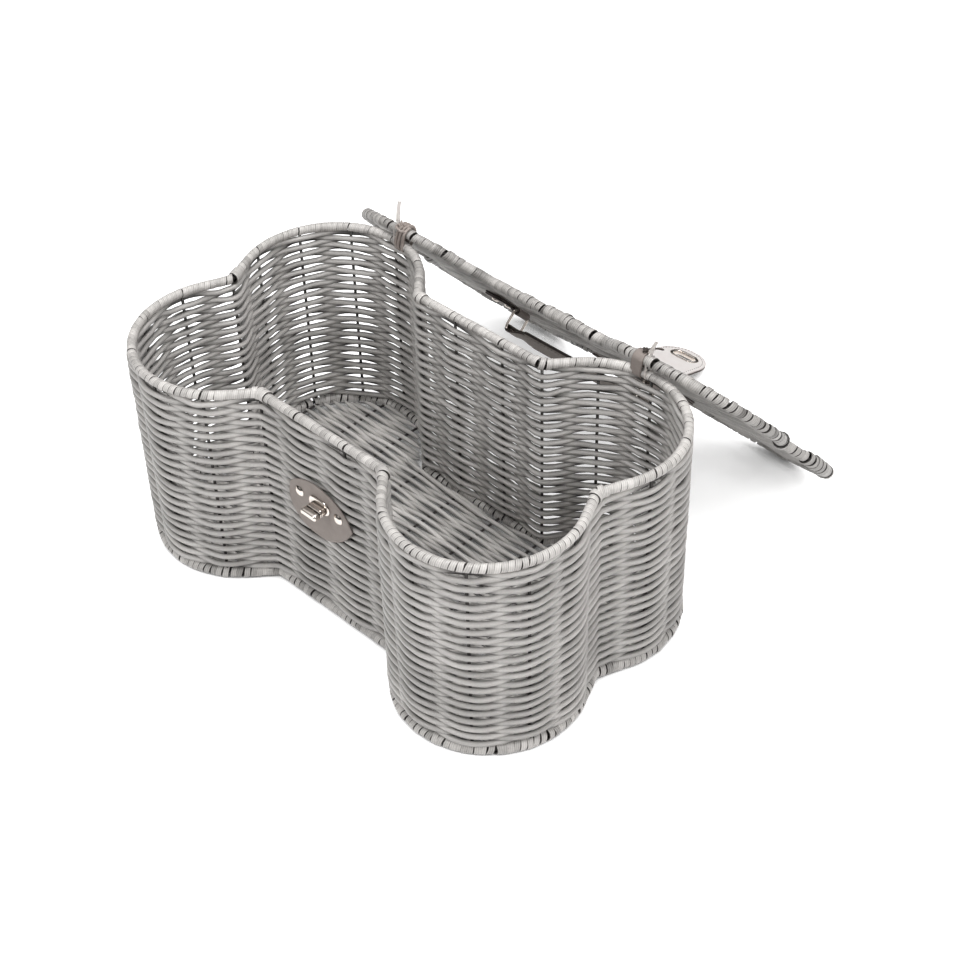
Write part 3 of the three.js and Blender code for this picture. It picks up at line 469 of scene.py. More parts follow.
# wall of the basket: closed rows of round strand, in and out of the stakes by turns
wall = {
    "rows": 42,
    "firstRow": 9.7,
    "pitch": 3.53,
    "radius": 1.93,
    "depth": 2.3,
    "sides": 9,
    "stepsPerBay": 12,
    "sag": 0.6,
    "bows": ((0.55, 0.9, 0.12, 0.0), (0.35, 1.7, -0.21, 2.0)),  # size, turn per bay and per row, start
    "fan": 1.1,  # how much more the top rows waver than the bottom ones
    "swell": (5, 25, 0.07),  # wave numbers round the wall, from and up to, and size
    "waver": (6, 34, 0.25),
    "ripple": (30, 80, 0.1),
    "tone": (0.22, 0.07),
    # painted shade along each strand's underside, and on its side turned into the weave
    "underShade": 0.42,
    "turnShade": 0.6,
}


def wallRow(row):
    steps = bays * wall["stepsPerBay"]
    u = np.arange(steps) / wall["stepsPerBay"]
    centre, out = rowPath.at(bayToLength(u))
    side = 1 if row % 2 else -1
    swell = 1 + waver(steps, *wall["swell"], 100 + row)
    depth = side * wall["depth"] * np.cos(np.pi * u) * swell
    shared = sum(size * np.sin(u * turn + row * shift + start) for size, turn, shift, start in wall["bows"])
    fan = 1 + wall["fan"] * (row / wall["rows"]) ** 3
    own = waver(steps, *wall["waver"], 200 + row) + waver(steps, *wall["ripple"], 300 + row)
    height = wall["firstRow"] + wall["pitch"] * row + fan * (wall["sag"] * shared + own)
    path = np.column_stack([centre + out * depth[:, None], height])
    heading = headings(path, closed=True)
    across = unit(np.cross(heading, worldZ))
    up = np.cross(across, heading)
    block = closeRing(sweep(path, across, up, roundSection(wall["radius"], wall["sides"])))
    # painted shade under the strand and where it turns into the weave
    tone = paintedShadeTone(depth / wall["depth"], wall["sides"], wall["underShade"], wall["turnShade"])
    return block, closeRing(tone)


def paintedShadeTone(offset, sides, under, core):
    # painted shade: strands are darker along their underside and on the side turned to the middle of the
    # weave, where the strands around them keep the light off
    angle = (np.arange(sides + 1) + 0.5) * 2 * np.pi / sides
    below = under * np.clip(-np.sin(angle) + 0.15, 0, 1)
    inward = core * np.clip(-offset[:, None] * np.cos(angle) * 1.4, 0, 1)
    return -below - inward


def weaveWall(name, rows, draw):
    woven = [wallRow(row) for row in rows]
    # each row's random tone, plus its painted shade
    tones = [draw.normal(*wall["tone"]) + paintedShade for block, paintedShade in woven]
    return strandMesh(name, [block for block, paintedShade in woven], tones)


draw = np.random.default_rng(11)
overRows = weaveWall("wallStrandsEven", range(0, wall["rows"], 2), draw)
attach(overRows, "basket", ["wall_weave"], weaveFinish)
underRows = weaveWall("wallStrandsOdd", range(1, wall["rows"], 2), draw)
attach(underRows, "basket", [], weaveFinish)
print("wall rows woven:", wall["rows"], "bays:", bays)


# flat strand wound round a hoop: pitches lists the step of each turn
def woundStrand(path, look, pitches, seed, gaps=(), lumps=()):
    # gaps are places where a stake is passed; lumps are second layers, by place, half length and rise
    lumpFade = 2.5
    draw = np.random.default_rng(seed)
    turns = len(pitches)
    marks = np.concatenate([[0], np.cumsum(pitches)])
    gapWidth = look.get("gapAtStake", 0.0)
    stretch = path.length / (marks[-1] + len(gaps) * gapWidth)
    t = np.arange(turns * look["steps"] + 1) / look["steps"]
    s = np.interp(t, np.arange(turns + 1), marks) * stretch
    for mark in gaps:
        first = int(np.searchsorted(s, mark))
        turn = t[min(first, len(t) - 1)]
        settle = np.clip((t - turn) * 4, 0, 1)  # the step is made within a quarter turn
        s = s + gapWidth * stretch * settle
    s = s * path.length / s[-1]
    angle = 2 * np.pi * t - np.pi / 2
    s = s + np.interp(t, np.arange(turns + 1), draw.normal(0, look["lean"], turns + 1)) * np.cos(angle)
    centre, out = path.at(s)
    turnNoise = np.interp(t, np.arange(turns + 1), draw.normal(0, look["unevenness"], turns + 1))
    reach = look["radius"] - look["thickness"] / 2 + turnNoise
    for spot, half, rise in lumps:
        gap = np.abs(np.mod(s - spot + path.length / 2, path.length) - path.length / 2)
        reach = reach + rise * np.clip((half - gap) / lumpFade, 0, 1)
    radial = np.column_stack([out * np.cos(angle)[:, None], np.sin(angle)])
    spots = np.column_stack([centre, np.full(len(t), look["height"])]) + radial * reach[:, None]
    across = unit(np.cross(headings(spots), radial))
    return sweep(spots, across, radial, flatSection(look["width"], look["thickness"]))


def turnTones(draw, look, turns):
    # one tone for each turn, repeated for its steps
    return np.repeat(draw.normal(*look["tone"], turns + 1), look["steps"])[: turns * look["steps"] + 1]


def flatSection(width, thickness):
    # a flat strand with a crowned outer face and round edges
    half = width / 2
    high = thickness / 2
    right = [(half * 0.72, high * 0.97), (half * 0.93, high * 0.66), (half, -high * 0.1), (half * 0.8, -high)]
    left = [(-x, y) for x, y in reversed(right[:3])]
    return closeRing(np.array(left + right + [(-half * 0.8, -high)]))


rim = {
    "height": 160.0,
    "radius": 3.2,
    "lumpStakes": (0, 6, 12, 15, 21, 27),
    "lumpSpread": 2,
    "lumpHalf": (4.5, 7.5),
    "lumpRise": 1.1,
    "width": 4.2,
    "thickness": 1.3,
    "pitch": 4.0,
    "pitchSpread": 0.05,
    "gapAtStake": 0.9,
    "steps": 14,
    "unevenness": 0.09,
    "lean": 0.28,
    "tone": (0.32, 0.09),
}


def woundRim():
    turns = int(round((hoopPath.length - rim["gapAtStake"] * bays) / rim["pitch"]))
    draw = np.random.default_rng(21)
    pitches = rim["pitch"] * (1 + draw.normal(0, rim["pitchSpread"], turns))
    spread, half, rise = rim["lumpSpread"], rim["lumpHalf"], rim["lumpRise"]
    corners = [(stakes[k] + draw.normal(0, spread), draw.uniform(*half), rise) for k in rim["lumpStakes"]]
    block = woundStrand(hoopPath, rim, pitches, 22, stakes[1:], corners)
    return strandMesh("rimWrap", [block], [turnTones(draw, rim, turns)])


attach(woundRim(), "basket", ["rim_wrap"], wrapFinish)

base = {
    "height": 4.0,
    "radius": 4.0,
    "width": 4.3,
    "thickness": 1.5,
    "pitch": 4.15,
    "pitchSpread": 0.14,
    "gapAtStake": 1.0,
    "steps": 14,
    "looseShare": 0.25,
    "looseStep": 1.1,
    "unevenness": 0.22,
    "lean": 0.75,
    # random tone for each turn, its mean set below the rim's as painted shade near the floor
    "tone": (0.26, 0.1),
}


def woundBase():
    turns = int(round((hoopPath.length - base["gapAtStake"] * bays) / base["pitch"]))
    draw = np.random.default_rng(31)
    pitches = base["pitch"] * (1 + draw.normal(0, base["pitchSpread"], turns))
    pitches[draw.random(turns) < base["looseShare"]] += base["looseStep"]
    block = woundStrand(hoopPath, base, pitches, 32, stakes[1:])
    block[:, :, 2] = np.maximum(block[:, :, 2], 0.02)  # flat where it stands on the floor
    return strandMesh("baseWrap", [block], [turnTones(draw, base, turns)])


attach(woundBase(), "basket", ["base_border_wrap"], wrapFinish)
print("borders wound")

# flat panels: strands along X, over and under the cross wires
panel = {
    "pitch": 3.42,
    "radius": 1.7,
    "sides": 8,
    "step": 3.2,
    "domeRings": 4,
    "shortest": 12,
    "fewestRings": 8,
    "sway": (0.8, 0.021, 0.3),  # size, turn per mm and per row
    "ownSpread": 0.3,
    "ownTurns": (0.05, 0.083),
    "depthSway": (0.1, 0.05),
    # random tone for each strand, its mean set paler than the wall's as painted light on the floor and lid
    # panels
    "tone": (0.3, 0.1),
    # painted shade along each strand's underside, and on its top where it dips under a wire
    "underShade": 0.35,
    "turnShade": 0.5,
}


def panelStrands(edge, level, depth, seed):
    draw = np.random.default_rng(seed)
    blocks, tones = [], []
    size, turn, shift = panel["sway"]
    slow, fast = panel["ownTurns"]
    swell, swellTurn = panel["depthSway"]
    rows = int(np.abs(edge.points[:, 1]).max() / panel["pitch"])
    for row in range(-rows, rows + 1):
        y = row * panel["pitch"]
        side = 1 if row % 2 else -1
        for low, high in edge.spans(y):
            if high - low < panel["shortest"]:
                continue
            count = max(panel["fewestRings"], int((high - low) / panel["step"]))
            x = np.linspace(low, high, count)
            u = x / plan["crossPitch"] + 0.5
            own = draw.normal(0, panel["ownSpread"], 3)
            sway = size * np.sin(x * turn + row * shift)
            sway += own[0] + own[1] * np.sin(x * slow) + own[2] * np.cos(x * fast)
            wave = side * depth * np.cos(np.pi * u) * (1 + swell * np.sin(x * swellTurn + row))
            path = np.column_stack([x, y + sway, level + wave])
            across = np.tile(worldY, (count, 1))
            up = unit(np.cross(headings(path), across))
            scale = roundedEnds(count, panel["domeRings"])
            blocks.append(sweep(path, across, up, roundSection(panel["radius"], panel["sides"]), scale))
            # painted shade: darker on top where the strand dips under a wire, and along its underside
            paintedShade = panel["turnShade"] * np.clip(-wave / depth, 0, 1)
            below = paintedShadeTone(np.zeros(count), panel["sides"], panel["underShade"], 0)
            tones.append(draw.normal(*panel["tone"]) + below - paintedShade[:, None])
    return blocks, tones


floorPanel = {
    "outset": -4.6,
    "level": 4.0,
    "depth": 1.75,
    "looseFrom": (-72.0, 65.0, 9.4),  # a strand's end left on top of the floor
    "looseTo": (19.0, 58.6, 7.4),
    "looseSag": 0.8,
    "looseRings": 24,
}
floorEdge = PlanPath(blur=1.8, outset=floorPanel["outset"])
floorBlocks, floorTones = panelStrands(floorEdge, floorPanel["level"], floorPanel["depth"], 41)


def looseStrand():
    share = np.linspace(0, 1, floorPanel["looseRings"])[:, None]
    path = np.array(floorPanel["looseFrom"]) * (1 - share) + np.array(floorPanel["looseTo"]) * share
    path[:, 2] -= floorPanel["looseSag"] * np.sin(np.pi * share[:, 0])
    return roundTube(path, panel["radius"], panel["sides"], panel["domeRings"])


floorBlocks.append(looseStrand())
floorTones.append(panel["tone"][0])
floorPiece = strandMesh("floorStrands", floorBlocks, floorTones)
attach(floorPiece, "basket", ["floor_weave"], weaveFinish)

lidPanel = {
    "outset": 3.0,
    "borderOverlap": 3.4,
    "depth": 1.75,
    "lengthShare": 0.987,  # the photographed lid is a little shorter than the plan and sits to the right
    "shift": 3.5,
}


def lidPath(outset):
    path = PlanPath(blur=1.8, outset=outset)
    path.points = path.points * [lidPanel["lengthShare"], 1] + [lidPanel["shift"], 0]
    return path


lidHoop = lidPath(lidPanel["outset"])
lidEdge = lidPath(lidPanel["outset"] - lidPanel["borderOverlap"])
lidPiece = strandMesh("lidStrands", *panelStrands(lidEdge, 0.0, lidPanel["depth"], 51), onLid=True)
attach(lidPiece, "lid", ["lid_weave"], weaveFinish)

lidWrap = {
    "radius": 3.75,
    "width": 4.3,
    "thickness": 1.4,
    "pitch": 3.5,
    "pitchSpread": 0.3,
    "pitchRange": (0.4, 1.4),
    "steps": 14,
    "looseShare": 0.15,
    "looseStep": 1.6,
    "lumps": 30,
    "lumpHalf": (4, 14),
    "lumpRise": (0.3, 0.9),
    "height": 0.0,
    "unevenness": 0.22,
    "lean": 0.8,
    "tone": (0.12, 0.1),
}


def woundLidBorder():
    draw = np.random.default_rng(61)
    meanPitch = lidWrap["pitch"] + lidWrap["looseShare"] * lidWrap["looseStep"]
    turns = int(round(lidHoop.length / meanPitch))
    stretch = 1 + draw.normal(0, lidWrap["pitchSpread"], turns)
    pitches = lidWrap["pitch"] * np.clip(stretch, *lidWrap["pitchRange"])
    pitches[draw.random(turns) < lidWrap["looseShare"]] += lidWrap["looseStep"]
    sizes = lidWrap["lumpHalf"], lidWrap["lumpRise"]
    lumps = [(draw.random() * lidHoop.length, *(draw.uniform(*size) for size in sizes))
             for _ in range(lidWrap["lumps"])]
    block = woundStrand(lidHoop, lidWrap, pitches, 62, lumps=lumps)
    return strandMesh("lidBorderWrap", [block], [turnTones(draw, lidWrap, turns)], onLid=True)


attach(woundLidBorder(), "lid", ["lid_border_wrap"], wrapFinish)
print("floor, lid and lid border woven")

# dark wires that the strands hang on
wire = {"radius": 1.1, "hoopRadius": 1.5, "hoopEvery": 12, "sides": 8, "tone": 0.2}


def straightWire(start, end):
    share = np.array([0, 0.0001, 0.5, 0.9999, 1])[:, None]  # close rings square the ends off
    return roundTube(np.array(start) * (1 - share) + np.array(end) * share, wire["radius"], wire["sides"], 2)


def hoopWire(path, height):
    spots = path.points[::wire["hoopEvery"]]
    line = np.column_stack([spots, np.full(len(spots), height)])
    return roundTube(line, wire["hoopRadius"], wire["sides"], closed=True)


def crossWires(path, level):
    wires = []
    for pair in range(plan["crossPairs"]):
        for side in (1, -1):
            x = side * (pair + 0.5) * plan["crossPitch"]
            wires += [straightWire((x, low, level), (x, high, level)) for low, high in path.spans(x, axis=0)]
    return wires


def basketWires():
    wires = [hoopWire(hoopPath, rim["height"]), hoopWire(hoopPath, base["height"])]
    spots, _ = rowPath.at(stakes)
    wires += [straightWire((x, y, base["height"]), (x, y, rim["height"])) for x, y in spots]
    wires += crossWires(hoopPath, base["height"])
    return strandMesh("basketWires", wires, [wire["tone"]] * len(wires))


attach(basketWires(), "basket", ["basket_frame_wire"], wireFinish)


def lidWires():
    wires = [hoopWire(lidHoop, 0.0)] + crossWires(lidHoop, 0.0)
    return strandMesh("lidWires", wires, [wire["tone"]] * len(wires), onLid=True)


attach(lidWires(), "lid", ["lid_frame_wire"], wireFinish)
print("wires made")

# finishes of the leather, lining, metal and nylon parts
leatherGrain = {
    "wearScale": 90.0,
    "wear": (0.35, 0.7),
    "creaseWidth": 0.22,
    "roughness": (0.48, 0.66),
    "bumpDepth": 0.00015,
    "specular": 0.35,
}
# the stains are cloudy polish; the darker colour is painted shade in the crevices
metalStain = {"scale": 260.0, "creviceShade": (0.06, 0.045, 0.036, 1)}
nylonLook = {
    "hazeScale": 300.0,
    "clear": (0.8, 0.75, 0.72, 1),
    "milky": (0.93, 0.9, 0.87, 1),
    "roughness": (0.25, 0.5),
    "seeThrough": 0.6,
    "ior": 1.5,
}


def grainGroup():
    # creased cells, cloudy wear and a dark cut edge
    group, given, result = newGroup(
        "leatherGrain",
        {"Vector": "v", "Edge": "f", "Face": "c", "Worn": "c", "Rim": "c", "Scale": "f"},
        {"Color": "c", "Roughness": "f", "Height": "f"},
    )
    inputs = {"Vector": given["Vector"], "Scale": given["Scale"]}
    cells = addNode(group, "ShaderNodeTexVoronoi", inputs, feature="DISTANCE_TO_EDGE").outputs["Distance"]
    cloud = noise(group, given["Vector"], leatherGrain["wearScale"], 5.0, 0.6)
    wear = mapRange(group, cloud, 0.0, 1.0, *leatherGrain["wear"])
    tint = mixColours(group, wear, given["Face"], given["Worn"])
    fill(group, result["Color"], mixColours(group, given["Edge"], tint, given["Rim"]))
    fill(group, result["Roughness"], mapRange(group, cloud, *leatherGrain["roughness"]))
    fill(group, result["Height"], mapRange(group, cells, 0.0, 1.0, 0.0, leatherGrain["creaseWidth"]))
    return group


grainFinish = grainGroup()


def leatherMaterial(name, face, worn, edge, scale=1300.0, bump=0.35):
    material, tree, spots, tone = newMaterial(name)
    inputs = {"Vector": spots, "Edge": tone, "Scale": scale}
    colours = {"Face": (*face, 1), "Worn": (*worn, 1), "Rim": (*edge, 1)}
    look = addNode(tree, "ShaderNodeGroup", {**inputs, **colours}, node_tree=grainFinish).outputs
    setShader(tree, {
        "Base Color": look["Color"],
        "Roughness": look["Roughness"],
        "Normal": bumpNormal(tree, look["Height"], bump, leatherGrain["bumpDepth"]),
        "Specular IOR Level": leatherGrain["specular"],
    })
    return material


def metalMaterial(name, pale, deep, smooth, rough):
    # cloudy polish, with painted shade where the tone marks a crevice
    material, tree, spots, tone = newMaterial(name)
    stains = noise(tree, spots, metalStain["scale"], 4.0, 0.6)
    tint = mixColours(tree, stains, (*pale, 1), (*deep, 1))
    setShader(tree, {
        "Base Color": mixColours(tree, tone, tint, metalStain["creviceShade"]),
        "Roughness": mapRange(tree, stains, smooth, rough),
        "Metallic": 1.0,
    })
    return material


def nylonMaterial(name):
    material, tree, spots, _ = newMaterial(name)
    haze = noise(tree, spots, nylonLook["hazeScale"], 3.0)
    setShader(tree, {
        "Base Color": mixColours(tree, haze, nylonLook["clear"], nylonLook["milky"]),
        "Roughness": mapRange(tree, haze, *nylonLook["roughness"]),
        "Transmission Weight": nylonLook["seeThrough"],
        "IOR": nylonLook["ior"],
    })
    return material


# each leather's face, worn face and cut edge, then the size of its grain and the strength of its bump
leathers = {
    "taupeLeather": ((0.27, 0.232, 0.212), (0.335, 0.292, 0.268), (0.075, 0.06, 0.053)),
    # the strap's leather is the pad's made paler: painted light on the strap and tabs, which hang in the
    # lid's shade
    "litStrapLeather": ((0.31, 0.265, 0.242), (0.38, 0.33, 0.3), (0.07, 0.058, 0.052)),
    "laceLeather": ((0.31, 0.258, 0.232), (0.43, 0.375, 0.345), (0.1, 0.08, 0.07), 2200.0, 0.5),
    "darkLace": ((0.055, 0.045, 0.04), (0.12, 0.1, 0.09), (0.03, 0.025, 0.022), 2200.0, 0.5),
    "creamLining": ((0.84, 0.79, 0.768), (0.88, 0.842, 0.825), (0.5, 0.44, 0.415), 2600.0, 0.25),
    "threadFinish": ((0.2, 0.168, 0.152), (0.28, 0.24, 0.22), (0.2, 0.17, 0.15), 4000.0, 0.3),
}
leatherFinishes = [leatherMaterial(name, *look) for name, look in leathers.items()]
taupe, litStrapTaupe, lace, darkLace, cream, thread = leatherFinishes
nickel = metalMaterial("paleNickel", (0.86, 0.79, 0.73), (0.74, 0.67, 0.61), 0.1, 0.24)
zinc = metalMaterial("zincPlate", (0.52, 0.51, 0.5), (0.4, 0.39, 0.38), 0.25, 0.42)
nylon = nylonMaterial("clearNylon")


# shapes that the leather and metal parts share
def ribbon(path, across, up, width, thickness, faces=6):
    # a flat strip with round edges: width and thickness may change along the path
    rings = len(path)
    wide = np.broadcast_to(np.asarray(width, dtype=float), (rings,))
    thick = np.broadcast_to(np.asarray(thickness, dtype=float), (rings,))
    flat = np.linspace(1, -1, faces + 1)
    bend = np.linspace(0, np.pi, 5)[1:-1]
    core = np.concatenate([flat, -np.ones(3), -flat, np.ones(3), [1]])
    edge = np.concatenate([np.zeros(faces + 1), -np.sin(bend), np.zeros(faces + 1), np.sin(bend), [0]])
    rise = np.concatenate([np.ones(faces + 1), np.cos(bend), -np.ones(faces + 1), -np.cos(bend), [1]])
    half = thick / 2
    side = core * np.maximum(wide / 2 - half, 0)[:, None] + edge * np.minimum(half, wide / 2)[:, None]
    high = rise * half[:, None]
    block = path[:, None, :] + across[:, None, :] * side[:, :, None] + up[:, None, :] * high[:, :, None]
    dark = np.broadcast_to((np.abs(edge) > 0.05).astype(float), (rings, len(core)))
    return block, dark


def flatEnds(path, across, up, width, thickness, tip=0.35):
    # the same strip with both of its ends cut square and closed
    along = lengthMarks(path)
    total = along[-1]
    inner = along[(along > tip) & (along < total - tip)]
    marks = np.unique(np.concatenate([[0, tip * 0.3, tip], inner, total - np.array([tip, tip * 0.3, 0])]))
    left = np.minimum(marks, total - marks)
    swell = np.sqrt(np.clip(1 - (1 - np.clip(left / tip, 0, 1)) ** 2, 0, 1))
    wide = np.interp(marks, along, np.broadcast_to(np.asarray(width, dtype=float), (len(path),)))
    frame = [readAt(marks, along, rows) for rows in (path, across, up)]
    block, dark = ribbon(frame[0], unit(frame[1]), unit(frame[2]), wide, thickness * swell)
    return block, np.maximum(dark, (left < tip * 0.9).astype(float)[:, None])


def sideFrame(spots, heading, x=0.0):
    # path, across and up of a strip that is drawn in side view, in Y and Z
    flat = np.zeros(len(spots))
    path = np.column_stack([flat + x, spots])
    return path, np.tile(worldX, (len(spots), 1)), np.column_stack([flat, heading[:, 1], -heading[:, 0]])


def planePath(points, steps, closed=False):
    # even points along a line drawn in two directions, with its headings
    points = np.asarray(points, dtype=float)
    if closed:
        points = closeRing(points)
    along = lengthMarks(points)
    spots = readAt(np.linspace(0, along[-1], steps + 1), along, points)
    if closed:
        spots = spots[:-1]
    return spots, headings(spots, closed)


def hullLoop(circles, steps):
    # a belt drawn tight round circles, each given by centre and radius
    turn = np.linspace(0, 2 * np.pi, 1440, endpoint=False)
    aim = np.stack([np.cos(turn), np.sin(turn)], axis=1)
    reach = np.stack([aim @ np.array(centre) + radius for centre, radius in circles])
    chosen = reach.argmax(axis=0)
    centres = np.array([circles[k][0] for k in chosen])
    radii = np.array([circles[k][1] for k in chosen])
    return planePath(centres + aim * radii[:, None], steps, closed=True)


def stadiumLoop(length, width, steps):
    # points round a slot with round ends, anticlockwise from the right end's foot
    radius = width / 2
    half = max(length / 2 - radius, 0)
    bow = np.linspace(-np.pi / 2, np.pi / 2, steps + 1)
    right = np.stack([half + radius * np.cos(bow), radius * np.sin(bow)], axis=1)
    return np.concatenate([right, -right, right[:1]])


def stackedSlot(length, width, profile, steps=10):
    # rings of one slot shape, drawn in by inset and raised to height
    rings = []
    for inset, height, *_ in profile:
        loop = stadiumLoop(length - 2 * inset, max(width - 2 * inset, 0.0), steps)
        rings.append(np.column_stack([loop, np.full(len(loop), float(height))]))
    return np.array(rings)


def profileTone(profile):
    # a profile's third value darkens its ring with painted shade, where two metal faces meet
    return [step[2] if len(step) > 2 else 0.0 for step in profile]


def slotSolid(size, steps, tones=(0.0, 0.0), crown=0.0):
    # a stack of slot shapes, closed on its middle line below and above
    length, width = size
    foot = (width / 2, steps[0][1], tones[0])
    roof = (width / 2, steps[-1][1] + crown, tones[1])
    profile = [foot, *steps, roof]
    return stackedSlot(length, width, profile), profileTone(profile)


def crisp(piece, degrees=32):
    # hard shading at a metal part's edges
    piece.data.set_sharp_from_angle(angle=math.radians(degrees))
    return piece


def turned(profile, sides=20):
    # a round part about the Z axis from radii and heights
    angle = np.linspace(0, 2 * np.pi, sides + 1)
    return np.array([
        np.stack([radius * np.cos(angle), radius * np.sin(angle), np.full(sides + 1, float(height))], axis=1)
        for radius, height, *_ in profile
    ])


def mapBlock(block, origin, xAxis, yAxis, zAxis):
    return np.asarray(origin) + block[..., 0:1] * xAxis + block[..., 1:2] * yAxis + block[..., 2:3] * zAxis


# turn lock and its leather pad on the front wall
lock = {
    "height": 100.0,
    "padFace": -77.3,
    "padThickness": 1.4,
    "chord": 58.5,
    "rise": 15.0,
    "drop": 30.0,
    "skew": 6.0,
    "tilt": -12.0,
    "padMiddle": (-2.2, -3.8),
    "curl": 0.35,
    "lowerCurl": 0.5,
    "flange": (19.6, 11.0),
    "flangeShift": (-0.8, 0.9),
    "collar": (14.4, 5.8),
    "knob": (14.8, 5.0),
    "knobBack": -84.3,
    "knobFront": -89.1,
    "screwX": 18.0,
    "leftHeadShift": (-2.0, 1.8, 0),
    "rightHeadShift": (-1.8, -1.3, 0),
}


def onFront(block, depth, x=0.0):
    # from a flat drawing to the front wall: the drawing's Z points out of the wall
    return mapBlock(block, (x, depth, lock["height"]), worldX, worldZ, -worldY)


def padOutline(steps=28):
    # a leaf: a shallow arc above the chord and a deep leaning one below it
    half = lock["chord"] / 2
    above = np.linspace(0, np.pi, steps, endpoint=False)
    below = above + np.pi
    radius = (half ** 2 + lock["rise"] ** 2) / (2 * lock["rise"])
    lean = math.asin(half / radius) * (1 - 2 * above / np.pi)
    top = np.stack([radius * np.sin(lean), radius * np.cos(lean) - radius + lock["rise"]], axis=1)
    across = half * np.cos(below) + lock["skew"] * np.sin(below)
    bottom = np.stack([across, lock["drop"] * np.sin(below)], axis=1)
    loop = np.concatenate([top, bottom])
    turn = math.radians(lock["tilt"])
    spin = np.array([[math.cos(turn), -math.sin(turn)], [math.sin(turn), math.cos(turn)]])
    return loop @ spin.T


def padBlock():
    # rings of the leaf from the middle of its face over its edge to its back
    loop = closeRing(padOutline())
    middle = np.array(lock["padMiddle"])
    thick = lock["padThickness"]
    face = [(share, thick) for share in (0.0, 0.35, 0.7, 0.94)]
    edge = [(0.985, thick * 0.93), (1.0, thick * 0.6), (1.0, thick * 0.3), (0.985, 0.05)]
    rings, dark = [], []
    for share, height in face + edge + [(0.7, 0.0), (0.0, 0.0)]:
        spots = middle + (loop - middle) * share
        curl = lock["curl"] * np.sin(spots[:, 0] * 0.16 + 0.8) * share ** 2
        curl += lock["lowerCurl"] * share ** 4 * (spots[:, 1] < 0) * np.sin(spots[:, 0] * 0.09)
        rings.append(np.column_stack([spots, height + np.maximum(curl, -0.15)]))
        dark.append(np.full(len(loop), 0.3 if share >= 1 else 0.0))
    return np.array(rings), np.array(dark)


padRings, padDark = padBlock()
pad = strandMesh("lockPadLeather", [onFront(padRings, lock["padFace"] + lock["padThickness"])], [padDark])
attach(pad, "basket", ["lock_pad"], taupe)


def escutcheon():
    # flange and collar, with painted shade where one stands on the other
    foot = lock["padFace"] - 0.02
    top = foot - lock["knobBack"] - 0.3
    flangeSteps = [(0.3, 0, 1), (0, 0.3, 0.9), (0, 0.8), (0.25, 1.1), (0.8, 1.35), (1.8, 1.5),
                   (2.9, 1.55, 0.2)]
    collarSteps = [(0, 1.3, 1), (0, 2.2, 0.7), (0, 3.6), (0, top - 1.9, 0.1), (0.3, top - 1.6, 0.3),
                   (0.3, top - 1.3, 0.3), (0, top - 1.0), (0, top - 0.5), (0.35, top, 0.5)]
    flange, flangeTone = slotSolid(lock["flange"], flangeSteps, (0, 1))
    collar, collarTone = slotSolid(lock["collar"], collarSteps, (0, 1))
    flange = flange + (*lock["flangeShift"], 0)
    return [(onFront(flange, foot), flangeTone), (onFront(collar, foot), collarTone)]


def turnKnob():
    deep = lock["knobBack"] - lock["knobFront"]
    barSteps = [(0.5, 0, 1), (0, 0.6, 0.5), (0, 1.3), (0, deep - 1.3), (0.35, deep - 0.6), (1.0, deep - 0.12)]
    bar, barTone = slotSolid(lock["knob"], barSteps, (1, 0), 0.12)
    stem = turned([(0, -21), (2, -21), (2, 0.5), (0, 0.5)])
    # the stem is darkened all over with painted shade, down in the collar
    return [(onFront(bar, lock["knobBack"]), barTone), (onFront(stem, lock["knobBack"]), 0.6)]


# radii and heights of a domed head, with painted shade in the crevice under it
screwHead = [(0, 0.0), (3.9, 0.0, 1), (4.1, 0.12, 0.8), (3.75, 0.42), (3.2, 0.88), (2.6, 1.29), (1.8, 1.63),
             (0.9, 1.86), (0, 1.95)]


def screwParts(x, shift):
    head = turned(screwHead, 28) + shift
    shank = turned([(0, -14), (1.25, -14), (1.25, 0.2), (0, 0.2)], 14)
    foot = lock["padFace"] - 0.05
    # the shank is darkened all over with painted shade, down in the pad
    return [(onFront(head, foot, x), profileTone(screwHead)), (onFront(shank, foot, x), 0.6)]


def metalPiece(name, parts):
    return crisp(strandMesh(name, [part for part, tone in parts], [tone for part, tone in parts]))


attach(metalPiece("lockEscutcheon", escutcheon()), "basket", ["lock_base"], nickel)
attach(metalPiece("lockTurnKnob", turnKnob()), "lock_knob", ["lock_knob"], nickel)
for side, label in leftRight:
    parts = screwParts(side * lock["screwX"], lock[label + "HeadShift"])
    screw = metalPiece("lockScrew" + label.title(), parts)
    attach(screw, "basket", ["lock_screw_" + label], nickel)
print("turn lock made")

# ties that hold the lid's border to the rim, drawn tight round both
ties = {
    "x": 108.0,
    "lidCentre": (hinge.y / mm, hinge.z / mm),
    "rimReach": rim["radius"] - 0.9,
    "lidReach": lidWrap["radius"] + 0.35,
    "laceRadius": 1.2,
    "laceTurns": 3,
    "lacePitch": 2.9,
    "laceSway": 0.7,
    "laceLift": 0.6,
    "laceStart": 8,
    "bandWidth": 9.0,
    "bandThickness": 1.3,
    "nylonX": 115.2,
    "nylonWidth": 1.5,
    "nylonThickness": 0.6,
    "tailWidth": 3.1,
    "tailFoot": 2.2,
    "leftTail": (19.0, -7.0),  # length with its foot, and lean in degrees
    "rightTail": (14.0, 20.0),
}
rimCentre = (hoopPath.spans(ties["x"], axis=0)[-1][1], rim["height"])


def tieLoop(grow, steps):
    # the tight loop round rim and lid border in Y and Z, with its headings
    circles = [(rimCentre, ties["rimReach"] + grow), (ties["lidCentre"], ties["lidReach"] + grow)]
    return hullLoop(circles, steps)


def smoothRoute(spots, count):
    # a rounded route through a few chosen places
    along = lengthMarks(spots)
    route = readAt(np.linspace(0, along[-1], count), along, spots)
    smoothLine(route, max(2, count // 6))
    return route


